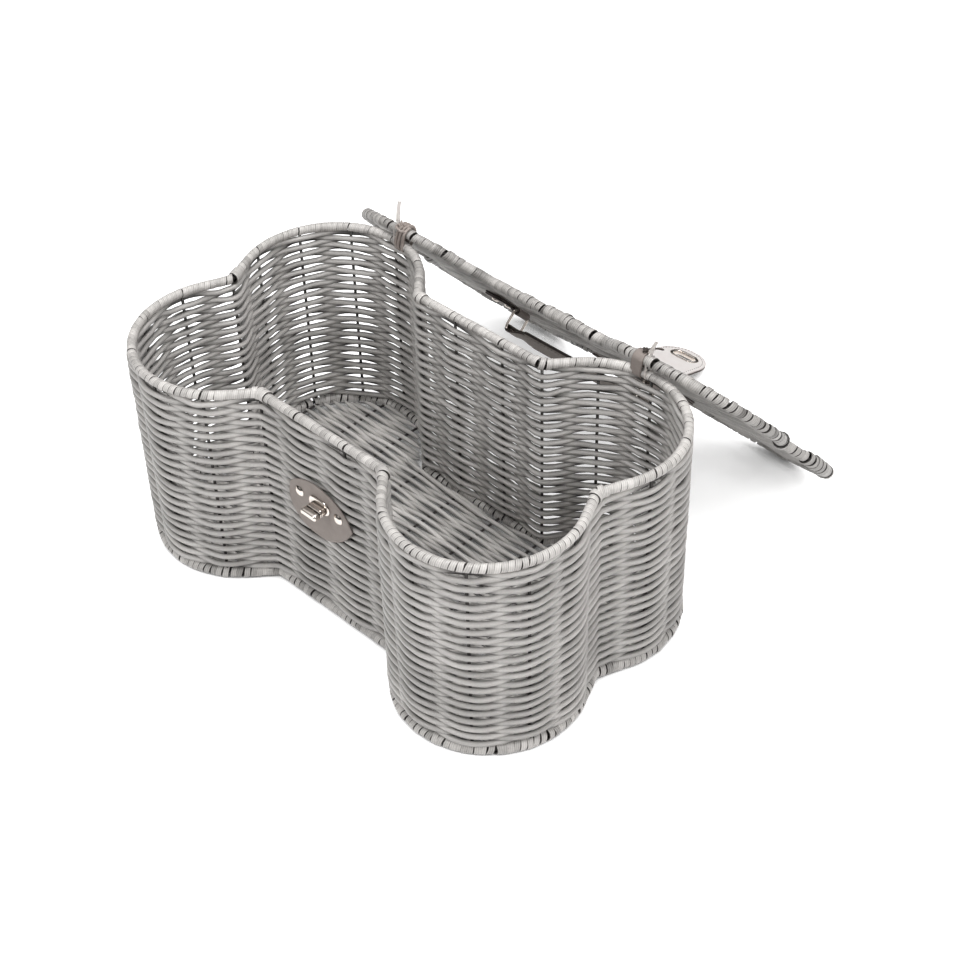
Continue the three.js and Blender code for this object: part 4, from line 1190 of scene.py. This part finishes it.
def knotRoute(centre, size, lean):
    # a trefoil, which is an overhand knot with its ends joined
    t = np.linspace(0, 2 * np.pi, 61)
    x, y, z = np.sin(t) + 2 * np.sin(2 * t), np.cos(t) - 2 * np.cos(2 * t), -1.3 * np.sin(3 * t)
    loop = np.stack([x, y, z], axis=1) * size / 3
    turn = np.array(Matrix.Rotation(lean, 3, "X"))
    return centre + loop @ turn.T


def laceTurns():
    steps = 56
    loop, _ = tieLoop(ties["laceRadius"], steps)
    turns = ties["laceTurns"]
    t = np.arange(turns * steps + 1) / steps
    draw = np.random.default_rng(71)
    sway = np.interp(t, np.linspace(0, turns, turns * 5 + 1), draw.normal(0, ties["laceSway"], turns * 5 + 1))
    lift = np.abs(draw.normal(0, ties["laceLift"], turns * 6 + 1))
    lift = np.interp(t, np.linspace(0, turns, turns * 6 + 1), lift)
    at = (np.arange(len(t)) + ties["laceStart"]) % steps
    out = unit(loop - loop.mean(axis=0))
    spots = loop[at] + out[at] * lift[:, None]
    x = -ties["x"] + ties["lacePitch"] * (turns / 2 - t) + sway
    return np.column_stack([x + 1.2 * np.cos(2 * np.pi * t + 0.9), spots])


lidTop = ties["lidCentre"][1] + ties["lidReach"]
laceCoil = laceTurns()
knotSpot = np.array([-ties["x"] - 0.5, ties["lidCentre"][0] - 2.6, lidTop + 1.9])
overTurn = smoothRoute(knotSpot + [
    (4.6, -1.0, -1.6), (2.4, -4.6, -0.6), (-2.6, -3.6, 0.6), (-5.0, -0.6, -1.2),
    (-3.0, 3.4, -0.4), (2.0, 3.8, 0.2), (5.4, 1.6, -1.4),
], 46)
laceEnd = smoothRoute(knotSpot + [(0.5, 0, 0.6), (-2.2, 1.8, 1.7), (-4.8, 4.2, 0.6)], 22)
lashing = strandMesh("laceLashing", [
    roundTube(laceCoil, ties["laceRadius"]),
    roundTube(knotRoute(knotSpot, 2.6, 0.3), 0.95),
    roundTube(overTurn, 0.95),
    roundTube(laceEnd, 0.85),
], [0.0] * 4)
attach(lashing, "basket", ["hinge_lashing_left", "hinge_knot_left"], lace)


def bandBlock():
    steps = 90
    loop, heading = [closeRing(rows) for rows in tieLoop(ties["bandThickness"] / 2 + 0.1, steps)]
    turn = np.linspace(0, 2 * np.pi, steps + 1)
    x = ties["x"] + 0.5 * np.sin(turn + 0.6)
    path = np.column_stack([x, loop])
    lean = 0.12 * np.sin(turn * 2 + 0.4)
    across = unit(np.column_stack([np.cos(lean), heading * np.sin(lean)[:, None]]))
    along = np.column_stack([np.zeros(steps + 1), heading])
    up = unit(np.cross(across, along))
    up *= np.sign((up[:, 1:] * (loop - loop.mean(axis=0))).sum(axis=1))[:, None]
    width = ties["bandWidth"] * (1 + 0.05 * np.sin(turn * 3 + 1))
    return ribbon(path, across, up, width, ties["bandThickness"])


bandRings, bandDark = bandBlock()
band = strandMesh("hingeBand", [bandRings], [bandDark * 0.5])
attach(band, "basket", ["hinge_band_right"], taupe)

smallKnot = np.array([ties["x"] + 2.4, ties["lidCentre"][0] + 0.4, lidTop + ties["bandThickness"] + 1.6])
knotEnd = smoothRoute(smallKnot + [(0.8, 0.6, 0.2), (3.2, 3.4, 0.9), (6.0, 6.0, 0.6), (9.2, 8.2, -0.2)], 26)
knotBlocks = [roundTube(knotRoute(smallKnot, 1.65, 0.2), 0.75), roundTube(knotEnd, 0.72)]
attach(strandMesh("hingeLace", knotBlocks, [0.2, 0.2]), "basket", ["hinge_lace_right"], darkLace)


def nylonBlocks(side):
    steps = 72
    x = side * ties["nylonX"]
    loop, heading = [closeRing(rows) for rows in tieLoop(ties["nylonThickness"] / 2 + 0.1, steps)]
    band, _ = ribbon(*sideFrame(loop, heading, x), ties["nylonWidth"], ties["nylonThickness"], 2)
    head, _ = slotSolid((3.0, 2.4), [(0.25, 0), (0, 0.3), (0, 2.2), (0.25, 2.5)])
    top = np.array([x, ties["lidCentre"][0], lidTop + ties["nylonThickness"] - 0.2])
    return [band, mapBlock(head, top, worldX, worldY, worldZ)], top


def nylonTail(top, side, length, lean):
    # a cut strip that stands up from the head and leans more and more, turned a little to the front
    steps = 15
    share = np.linspace(0, 1, steps + 1)
    angle = math.radians(lean) * (0.7 + 0.6 * share[1:])
    leg = (length - ties["tailFoot"]) / steps
    x = top[0] + side * np.concatenate([[0], np.cumsum(np.sin(angle) * leg)])
    z = top[2] + ties["tailFoot"] + np.concatenate([[0], np.cumsum(np.cos(angle) * leg)])
    path = np.column_stack([x, top[1] + 0.6 * share ** 2, z])
    heading = headings(path)
    across = unit(np.cross(heading, unit(np.array([0.65, -0.75, 0.0]))))
    width = ties["tailWidth"] * (1 - 0.2 * share)
    return flatEnds(path, across, np.cross(across, heading), width, ties["nylonThickness"])[0]


for side, label in leftRight:
    blocks, top = nylonBlocks(side)
    tie = strandMesh("nylonTie" + label.title(), blocks, [0.0, 0.0])
    attach(tie, "basket", ["nylon_tie_" + label], nylon)
    tail = strandMesh("nylonTail" + label.title(), [nylonTail(top, side, *ties[label + "Tail"])], [0.0])
    attach(tail, "basket", ["nylon_tail_" + label], nylon)
print("ties made")

# handle on the lid's outer face, drawn on the shut lid with its face at z = 3
handle = {
    "x": 62.0,
    "barHeight": 6.606,
    "gripHeight": 20.606,
    "ringHalf": 10.6,
    "wireRadius": 1.1,
    "cornerRadius": 2.0,
    "tabWidth": 17.0,
    "tabLength": 34.0,
    "strapThickness": 1.4,
    "loopReach": 2.42,
    "gripReach": 46.0,
    "gripWidth": 22.0,
    "gripThickness": 2.6,
    "gripCrown": 0.25,
    "roll": 16.0,
    "rivetInner": 76.0,
    "rivetOuter": 89.0,
    "face": 3.3,
    "seamInset": 3.2,
    "seamEnds": 3.0,
}


def ringWire(side):
    corner = handle["cornerRadius"]
    wide = handle["ringHalf"]
    middle = (handle["barHeight"] + handle["gripHeight"]) / 2
    tall = (handle["gripHeight"] - handle["barHeight"]) / 2
    points = []
    for k, (sy, sz) in enumerate(((1, 1), (-1, 1), (-1, -1), (1, -1))):
        bow = np.linspace(0, np.pi / 2, 7) + k * np.pi / 2
        centre = np.array([sy * (wide - corner), sz * (tall - corner)])
        points.append(centre + corner * np.stack([np.cos(bow), np.sin(bow)], axis=1))
    loop = np.concatenate(points)
    path = np.column_stack([np.full(len(loop), side * handle["x"]), loop[:, 0], middle + loop[:, 1]])
    across = np.tile(worldX, (len(path), 1))
    up = np.cross(headings(path, closed=True), across)
    return closeRing(sweep(path, across, up, roundSection(handle["wireRadius"], 12)))


rivetShape = {
    "under": -3.15,
    "shank": 1.2,
    "dome": [(0, 1.3), (1.5, 1.22), (2.6, 0.85), (3.25, 0.2), (3.25, 0)],
}


def addRivet(name, x, y, top, node):
    # a domed head on each side of the lid, and the shank between them
    low = rivetShape["under"]
    profile = [(radius, low - rise) for radius, rise in rivetShape["dome"]]
    profile += [(rivetShape["shank"], low), (rivetShape["shank"], top)]
    profile += [(radius, top + rise) for radius, rise in reversed(rivetShape["dome"])]
    rivet = strandMesh(name, [turned(profile) + (x, y, 0.0)], [0.0], onLid=True)
    attach(rivet, "lid", [node], nickel)


def tabBlock(side):
    # from the lower layer's end round the ring's bar and back over itself
    thick = handle["strapThickness"]
    low = handle["face"] + thick / 2
    high = low + thick
    centre = np.array([handle["x"], handle["barHeight"]])
    reach = handle["loopReach"]
    far = handle["x"] + handle["tabLength"]
    bow = np.radians(np.linspace(-70, -270, 26))
    around = centre + reach * np.stack([np.cos(bow), np.sin(bow)], axis=1)
    barX = handle["x"]
    under = [(far, low), (far - 12, low), (barX + 6, low)]
    over = [(barX + 5.5, high + 1.2), (barX + 9, high + 0.1), (far - 10, high), (far - 0.6, high)]
    spots, _ = planePath(np.concatenate([under, around, over]), 96)
    smoothLine(spots, 4)
    heading = headings(spots)
    path = np.column_stack([side * spots[:, 0], np.zeros(len(spots)), spots[:, 1]])
    across = np.tile(worldY, (len(path), 1))
    up = np.column_stack([-side * heading[:, 1], np.zeros(len(spots)), heading[:, 0]])
    ends = np.minimum(np.arange(len(spots)), np.arange(len(spots))[::-1]) / 5
    width = handle["tabWidth"] * (0.86 + 0.14 * np.sqrt(np.clip(ends, 0, 1)))
    return flatEnds(path, across, up, width, thick)


def strapLoop():
    # the narrow strip that runs round both lower bars
    bow = np.linspace(-90, 90, 17)
    reach = handle["loopReach"]
    right = [(handle["x"] + reach * math.cos(a), reach * math.sin(a)) for a in np.radians(bow)]
    waist = handle["strapThickness"] / 2 + 0.05
    joinX = handle["x"] - 9
    half = right + [(joinX, waist)]
    other = [(-x, -z) for x, z in half]
    loop, _ = planePath([(joinX, -waist)] + half + [(-joinX, waist)] + other, 240, closed=True)
    for _ in range(3):
        loop = (np.roll(loop, 1, axis=0) + 2 * loop + np.roll(loop, -1, axis=0)) / 4
    heading = closeRing(headings(loop, closed=True))
    loop = closeRing(loop)
    across, rise = strapFrame(loop[:, 0])
    path = loop[:, 0:1] * worldX + handle["gripHeight"] * worldZ + loop[:, 1:2] * rise
    along = heading[:, 0:1] * worldX + heading[:, 1:2] * rise
    up = unit(np.cross(across, along))
    return ribbon(path, across, up, handle["tabWidth"] - 1, handle["strapThickness"])


def strapFrame(x):
    # the strap's directions across and up, rolled between its two loops by its own weight
    share = np.clip((handle["x"] - 3 - np.abs(x)) / 14, 0, 1)
    roll = (math.radians(handle["roll"]) * share * share * (3 - 2 * share))[:, None]
    return np.cos(roll) * worldY - np.sin(roll) * worldZ, np.cos(roll) * worldZ + np.sin(roll) * worldY


def gripLine(reach, count):
    # the middle line of the crowned grip, from end to end
    x = np.linspace(-reach, reach, count)
    z = handle["gripHeight"] + handle["gripCrown"] * np.cos(np.pi * x / handle["gripReach"] / 2)
    return np.column_stack([x, np.zeros(count), z])


def gripBlock():
    # the padded wide part, a little crowned, with ends cut in a shallow curve
    path = gripLine(handle["gripReach"], 60)
    across, up = strapFrame(path[:, 0])
    ends = np.clip((handle["gripReach"] - np.abs(path[:, 0])) / 3.0, 0, 1)
    width = handle["gripWidth"] * (0.93 + 0.07 * np.sqrt(ends))
    return flatEnds(path, across, up, width, handle["gripThickness"], 0.9)


def stitchRow(points, normals, pitch=3.3, share=0.72, radius=0.24):
    # raised stitches along a line: each dips in at both of its ends
    along = lengthMarks(points)
    dip = np.array([-0.3, 0.02, 0.14, 0.14, 0.02, -0.3])[:, None]
    blocks = []
    for k in range(int(along[-1] / pitch)):
        marks = k * pitch + pitch * share * np.linspace(0, 1, len(dip))
        out = readAt(marks, along, normals)
        route = readAt(marks, along, points) + out * dip
        heading = headings(route)
        across = unit(np.cross(heading, out))
        section = roundSection(radius, 5)
        blocks.append(sweep(route, across, np.cross(across, heading), section, roundedEnds(len(dip), 2)))
    return blocks


rivetTop = handle["face"] + 2 * handle["strapThickness"] + 0.05
for side, label in leftRight:
    ring = strandMesh("handleRing" + label.title(), [ringWire(side)], [0.0], onLid=True)
    attach(ring, "ring_" + label, ["handle_ring_" + label], nickel)
    tabRings, tabDark = tabBlock(side)
    tab = strandMesh("handleTab" + label.title(), [tabRings], [tabDark], onLid=True)
    attach(tab, "lid", ["handle_tab_" + label], litStrapTaupe)
    for spot in ("Inner", "Outer"):
        node = "handle_rivet_" + label + "_" + spot.lower()
        addRivet("handleRivet" + label.title() + spot, side * handle["rivet" + spot], 0, rivetTop, node)

loopRings, loopDark = strapLoop()
gripRings, gripDark = gripBlock()
strap = strandMesh("handleStrap", [loopRings, gripRings], [loopDark * 0.8, gripDark], onLid=True)
attach(strap, "handle_strap", ["handle_strap"], litStrapTaupe)


def gripStitches():
    # a row along both edges of both faces
    blocks = []
    middle = gripLine(handle["gripReach"] - handle["seamEnds"], 40)
    across, up = strapFrame(middle[:, 0])
    toSeam = (handle["gripWidth"] / 2 - handle["seamInset"]) * across
    toFace = handle["gripThickness"] / 2 * up
    for face in (1, -1):
        for side in (1, -1):
            blocks += stitchRow(middle + side * toSeam + face * toFace, face * up)
    return blocks


handleSeams = gripStitches()
stitches = strandMesh("handleStitches", handleSeams, [0.0] * len(handleSeams), onLid=True)
attach(stitches, "handle_strap", [], thread)
print("handle made")

# flap: one piece of leather from its rivets on the lid, over the border, to its slotted round end
flap = {
    "bend": 31.0,
    "axisY": -(plan["sideY"] + lidPanel["outset"]),
    "halfWidth": 21.5,
    "slotReach": 69.4,
    "eyeletRise": 0.45,
    "beyondSlot": 14.5,
    "liningLow": 5.2,
    "liningThickness": 1.0,
    "leatherThickness": 1.6,
    "anchorBack": 28.0,
    "liftFrom": 9.5,  # where it leaves the lid's face, and where it has risen over the border
    "liftTo": 4.0,
    "slot": (19.4, 8.6),
    "slotPlay": 1.4,  # the leather's cut is wider than the eyelet's opening
    "eyeletMargin": 3.0,
    "rivetX": 12.0,
    "rivetSetback": 20.0,
    "seamInset": 2.9,
    "seamStart": -11.0,
}
flapLength = flap["slotReach"] + flap["beyondSlot"]


def flapLine(level):
    # side view in Y and Z of the shut lid, from the anchored end to the tip, at a level over the hinge line
    turn = math.radians(flap["bend"])
    anchor = handle["face"] + level - flap["liningLow"]
    arc = np.linspace(np.pi / 2, np.pi / 2 + turn, 14)
    aim = np.array([-math.cos(turn), -math.sin(turn)])
    end = np.array([flap["axisY"], 0]) + level * np.array([math.cos(arc[-1]), math.sin(arc[-1])])
    y = flap["axisY"]
    route = [(y + flap["anchorBack"], anchor), (y + flap["liftFrom"], anchor), (y + flap["liftTo"], level)]
    route += [(y + level * math.cos(a), level * math.sin(a)) for a in arc]
    return np.array(route + [tuple(end + aim * flapLength)])


def flapStrip(level, thickness, start):
    # a strip along the flap's line, with a square start and a round end
    spots, _ = planePath(flapLine(level), 150)
    smoothLine(spots, 8)
    along = lengthMarks(spots)
    total = along[-1]
    radius = flap["halfWidth"]
    tip = total - radius * (1 - np.cos(np.linspace(0, np.pi / 2, 18)))
    marks = np.unique(np.concatenate([along[(along >= start) & (along < total - radius)], [start], tip]))
    spots = readAt(marks, along, spots)
    left = np.clip(total - marks, 0, radius)
    half = np.sqrt(np.maximum(radius ** 2 - (radius - left) ** 2, 0))
    half[-1] = 0.02
    back = np.clip((marks - start) / 3.0, 0, 1)
    half *= 0.93 + 0.07 * np.sqrt(back * (2 - back))
    toEnd = np.minimum(marks - start, total - marks)
    thick = thickness * np.sqrt(np.clip(1 - (1 - np.clip(toEnd / 0.3, 0, 1)) ** 2, 0, 1))
    block, dark = ribbon(*sideFrame(spots, headings(spots)), 2 * half, thick, 10)
    return block, np.maximum(dark, (toEnd < 0.25)[:, None].astype(float))


def flapToLid(block):
    # from the flap's own drawing, with its hinge line at y = 0 and z = 0, to the shut lid's
    turn = math.radians(flap["bend"])
    yAxis = np.array([0, math.cos(turn), math.sin(turn)])
    zAxis = np.array([0, -math.sin(turn), math.cos(turn)])
    return mapBlock(block, (0, flap["axisY"], 0), worldX, yAxis, zAxis)


def cutSlot(piece):
    # takes the slot out of a strip with a solid of the slot's shape
    tool, _ = slotSolid([side + flap["slotPlay"] for side in flap["slot"]], [(0, 0), (0, 14)])
    cutter = strandMesh("slotCutter", [flapToLid(tool - (0, flap["slotReach"], 0))], [1.0], onLid=True)
    hole = piece.modifiers.new("slot", "BOOLEAN")
    hole.object = cutter
    hole.operation = "DIFFERENCE"
    hole.solver = "EXACT"
    bpy.context.view_layer.update()
    ready = piece.evaluated_get(bpy.context.evaluated_depsgraph_get())
    mesh = bpy.data.meshes.new_from_object(ready)
    piece.modifiers.clear()
    piece.data = mesh
    bpy.data.objects.remove(cutter)
    return piece


def flapPiece(name, level, thickness, start, nodes, material, shade):
    block, dark = flapStrip(level, thickness, start)
    piece = cutSlot(strandMesh(name, [block], [dark * shade], onLid=True))
    piece.data.materials.clear()
    piece.data.materials.append(material)
    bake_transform(piece)
    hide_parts(*nodes)
    return piece


liningMid = flap["liningLow"] + flap["liningThickness"] / 2
leatherLow = flap["liningLow"] + flap["liningThickness"] + 0.02
leatherMid = leatherLow + flap["leatherThickness"] / 2
flapPiece("flapLining", liningMid, flap["liningThickness"], 0.8, ["flap_lining"], cream, 0.7)
leatherNodes = ["flap_leather", "flap_anchor"]
flapPiece("flapLeather", leatherMid, flap["leatherThickness"], 0.0, leatherNodes, taupe, 1.0)


def eyeletBlock():
    # one spool that holds both faces of the flap round the slot
    rise = flap["eyeletRise"]
    low = flap["liningLow"] - rise
    high = leatherLow + flap["leatherThickness"] + rise
    wide = flap["eyeletMargin"]
    # distance from the slot's edge, and depth below the rim's top
    half = [(0.0, 0.3), (0.35, 0.0), (wide - 0.9, 0.05), (wide - 0.3, 0.2), (wide, rise - 0.05),
            (wide - 0.2, rise + 0.01), (1.0, rise + 0.01), (0.5, rise + 0.15)]
    profile = [(-out, high - deep) for out, deep in half] + [(-out, low + deep) for out, deep in half[::-1]]
    rings = stackedSlot(*flap["slot"], profile + profile[:1], 14)
    return flapToLid(rings - (0, flap["slotReach"], 0))


eyelet = strandMesh("flapEyelet", [eyeletBlock()], [0.0], onLid=True)
attach(eyelet, "flap", ["eyelet_front", "eyelet_back"], nickel)


def flapSeam():
    # stitches on both faces, a little inside the edge
    blocks = []
    radius = flap["halfWidth"] - flap["seamInset"]
    centreY = -(flapLength - flap["halfWidth"])
    bow = np.linspace(0, -np.pi, 30)
    tip = [(radius * math.cos(a), centreY + radius * math.sin(a)) for a in bow]
    line = np.array([(radius, flap["seamStart"]), *tip, (-radius, flap["seamStart"])])
    for height, face in ((flap["liningLow"], -1), (leatherLow + flap["leatherThickness"], 1)):
        spots = np.column_stack([line, np.full(len(line), height)])
        blocks += stitchRow(spots, np.tile(worldZ * face, (len(line), 1)), pitch=2.7, share=0.8, radius=0.2)
    return [flapToLid(block) for block in blocks]


flapSeams = flapSeam()
stitches = strandMesh("flapStitches", flapSeams, [0.0] * len(flapSeams), onLid=True)
attach(stitches, "flap", [], thread)
rivetTop = handle["face"] + flap["liningThickness"] + flap["leatherThickness"] + 0.1
rivetY = flap["axisY"] + flap["rivetSetback"]
for side, label in leftRight:
    addRivet("flapRivet" + label.title(), side * flap["rivetX"], rivetY, rivetTop, "flap_rivet_" + label)
print("flap made")

# fastenings behind the wall keep their CAD form
for name in ("lock_backing_plate", "lock_nut_left", "lock_nut_right", "lock_knob_washer"):
    node = frame["nodes"][name]
    node.data.materials.clear()
    node.data.materials.append(zinc)

# camera at the photograph's viewing angle
photoView = {"lens": 70.54, "spot": (0.708881, -0.648787, 0.905764), "turn": (48.9832, 1.1788, 43.6042)}
cameraData = bpy.data.cameras.new("photoCamera")
cameraData.sensor_width = 36
cameraData.lens = photoView["lens"]
camera = addObject("photoCamera", cameraData)
camera.location = photoView["spot"]
camera.rotation_euler = [math.radians(angle) for angle in photoView["turn"]]
bpy.context.scene.camera = camera

# floor, world and lamps
stageLook = {
    "floorReach": 6,
    "floorDrop": 0.0002,
    "pale": (0.8, 0.8, 0.8, 1),
    "underShade": (0.16, 0.155, 0.15, 1),
    "floorGlow": 0.84,
    "underGlow": 0.04,
    "mirroredGlow": 0.5,
    "near": {"reach": 0.02, "dark": 0.2, "open": 0.45, "least": 0.0, "samples": 6},
    "far": {"reach": 0.3, "dark": 0.04, "open": 0.42, "least": 0.4, "samples": 12},
    "sky": 0.4,
    "backdrop": 1.0,
    "mirroredSky": {"from": 0.25, "to": 0.75, "low": 0.024, "high": 0.76},
}
lamps = {
    "keyLamp": {"spot": (-0.3, -1.4, 1.2), "aim": (0, 0, 0.05), "size": 0.55, "power": 8.2},
    "sideLamp": {"spot": (1.35, -0.2, 1.2), "aim": (0, 0, 0.05), "size": 0.55, "power": 10},
    "topLamp": {"spot": (0.0, 0.1, 1.9), "aim": (0, 0.05, 0.05), "size": 0.8, "power": 17},
}
white = (1, 1, 1, 1)


def openFloor(tree):
    # 1 on the open floor, less where what stands over it keeps the light out
    shares = []
    for cover in (stageLook["near"], stageLook["far"]):
        inputs = {"Distance": cover["reach"]}
        roof = addNode(tree, "ShaderNodeAmbientOcclusion", inputs, samples=cover["samples"]).outputs["AO"]
        shares.append(mapRange(tree, roof, cover["least"], 1.0, cover["dark"], cover["open"], "SMOOTHSTEP"))
    return maths(tree, "MULTIPLY", *shares)


def addShaders(tree, kind, inputs):
    return addNode(tree, "ShaderNode" + kind + "Shader", inputs).outputs["Shader"]


def glow(tree, kind, strength):
    return addNode(tree, "ShaderNode" + kind, {"Color": white, "Strength": strength}).outputs[kind]


def emptyTree(owner):
    # the node tree of a material or a world, with nothing in it yet
    owner.use_nodes = True
    owner.node_tree.nodes.clear()
    return owner.node_tree


def stageFloor():
    floorMesh = bpy.data.meshes.new("floor")
    builder = bmesh.new()
    bmesh.ops.create_grid(builder, x_segments=1, y_segments=1, size=stageLook["floorReach"])
    builder.to_mesh(floorMesh)
    builder.free()
    floor = addObject("floor", floorMesh)
    floor.location.z = -stageLook["floorDrop"]
    material = bpy.data.materials.new("paleFloor")
    tree = emptyTree(material)
    seen = addNode(tree, "ShaderNodeLightPath").outputs
    openShare = openFloor(tree)
    hidden = maths(tree, "SUBTRACT", 1.0, seen["Is Camera Ray"])
    paleShare = maths(tree, "MAXIMUM", hidden, openShare)
    ground = mixColours(tree, paleShare, stageLook["underShade"], stageLook["pale"])
    matte = addNode(tree, "ShaderNodeBsdfDiffuse", {"Color": ground}).outputs["BSDF"]
    mirrored = seen["Is Glossy Ray"]
    bounce = maths(tree, "MULTIPLY_ADD", mirrored, stageLook["mirroredGlow"], stageLook["underGlow"])
    shaded = addShaders(tree, "Add", {0: matte, 1: glow(tree, "Emission", bounce)})
    bright = addShaders(tree, "Add", {0: matte, 1: glow(tree, "Emission", stageLook["floorGlow"])})
    anyRay = maths(tree, "MAXIMUM", seen["Is Transmission Ray"], seen["Is Camera Ray"])
    lit = maths(tree, "MULTIPLY", anyRay, openShare)
    surface = addShaders(tree, "Mix", {"Fac": lit, 1: shaded, 2: bright})
    addNode(tree, "ShaderNodeOutputMaterial", {"Surface": surface})
    floorMesh.materials.append(material)


def studioWorld():
    # soft light on the object, white to the camera, darker low down in what the metal mirrors
    world = bpy.data.worlds.new("studio")
    bpy.context.scene.world = world
    tree = emptyTree(world)
    seen = addNode(tree, "ShaderNodeLightPath").outputs
    spots = addNode(tree, "ShaderNodeTexCoord").outputs["Generated"]
    rise = addNode(tree, "ShaderNodeSeparateXYZ", {"Vector": spots}).outputs["Z"]
    ramp = stageLook["mirroredSky"]
    level = mapRange(tree, rise, ramp["low"], ramp["high"], ramp["from"], ramp["to"])
    mirrored = glow(tree, "Background", level)
    sky = glow(tree, "Background", stageLook["sky"])
    backdrop = glow(tree, "Background", stageLook["backdrop"])
    either = addShaders(tree, "Mix", {"Fac": seen["Is Glossy Ray"], 1: sky, 2: mirrored})
    anyRay = maths(tree, "MAXIMUM", seen["Is Transmission Ray"], seen["Is Camera Ray"])
    surface = addShaders(tree, "Mix", {"Fac": anyRay, 1: either, 2: backdrop})
    addNode(tree, "ShaderNodeOutputWorld", {"Surface": surface})


def softLamp(name, spot, aim, size, power):
    data = bpy.data.lights.new(name, "AREA")
    data.shape = "DISK"
    data.size = size
    data.energy = power
    lamp = addObject(name, data)
    lamp.location = spot
    lamp.rotation_euler = (Vector(aim) - Vector(spot)).to_track_quat("-Z", "Y").to_euler()


stageFloor()
studioWorld()
for name, lamp in lamps.items():
    softLamp(name, **lamp)
bpy.context.scene.view_settings.view_transform = "Standard"
print("camera and lamps set")
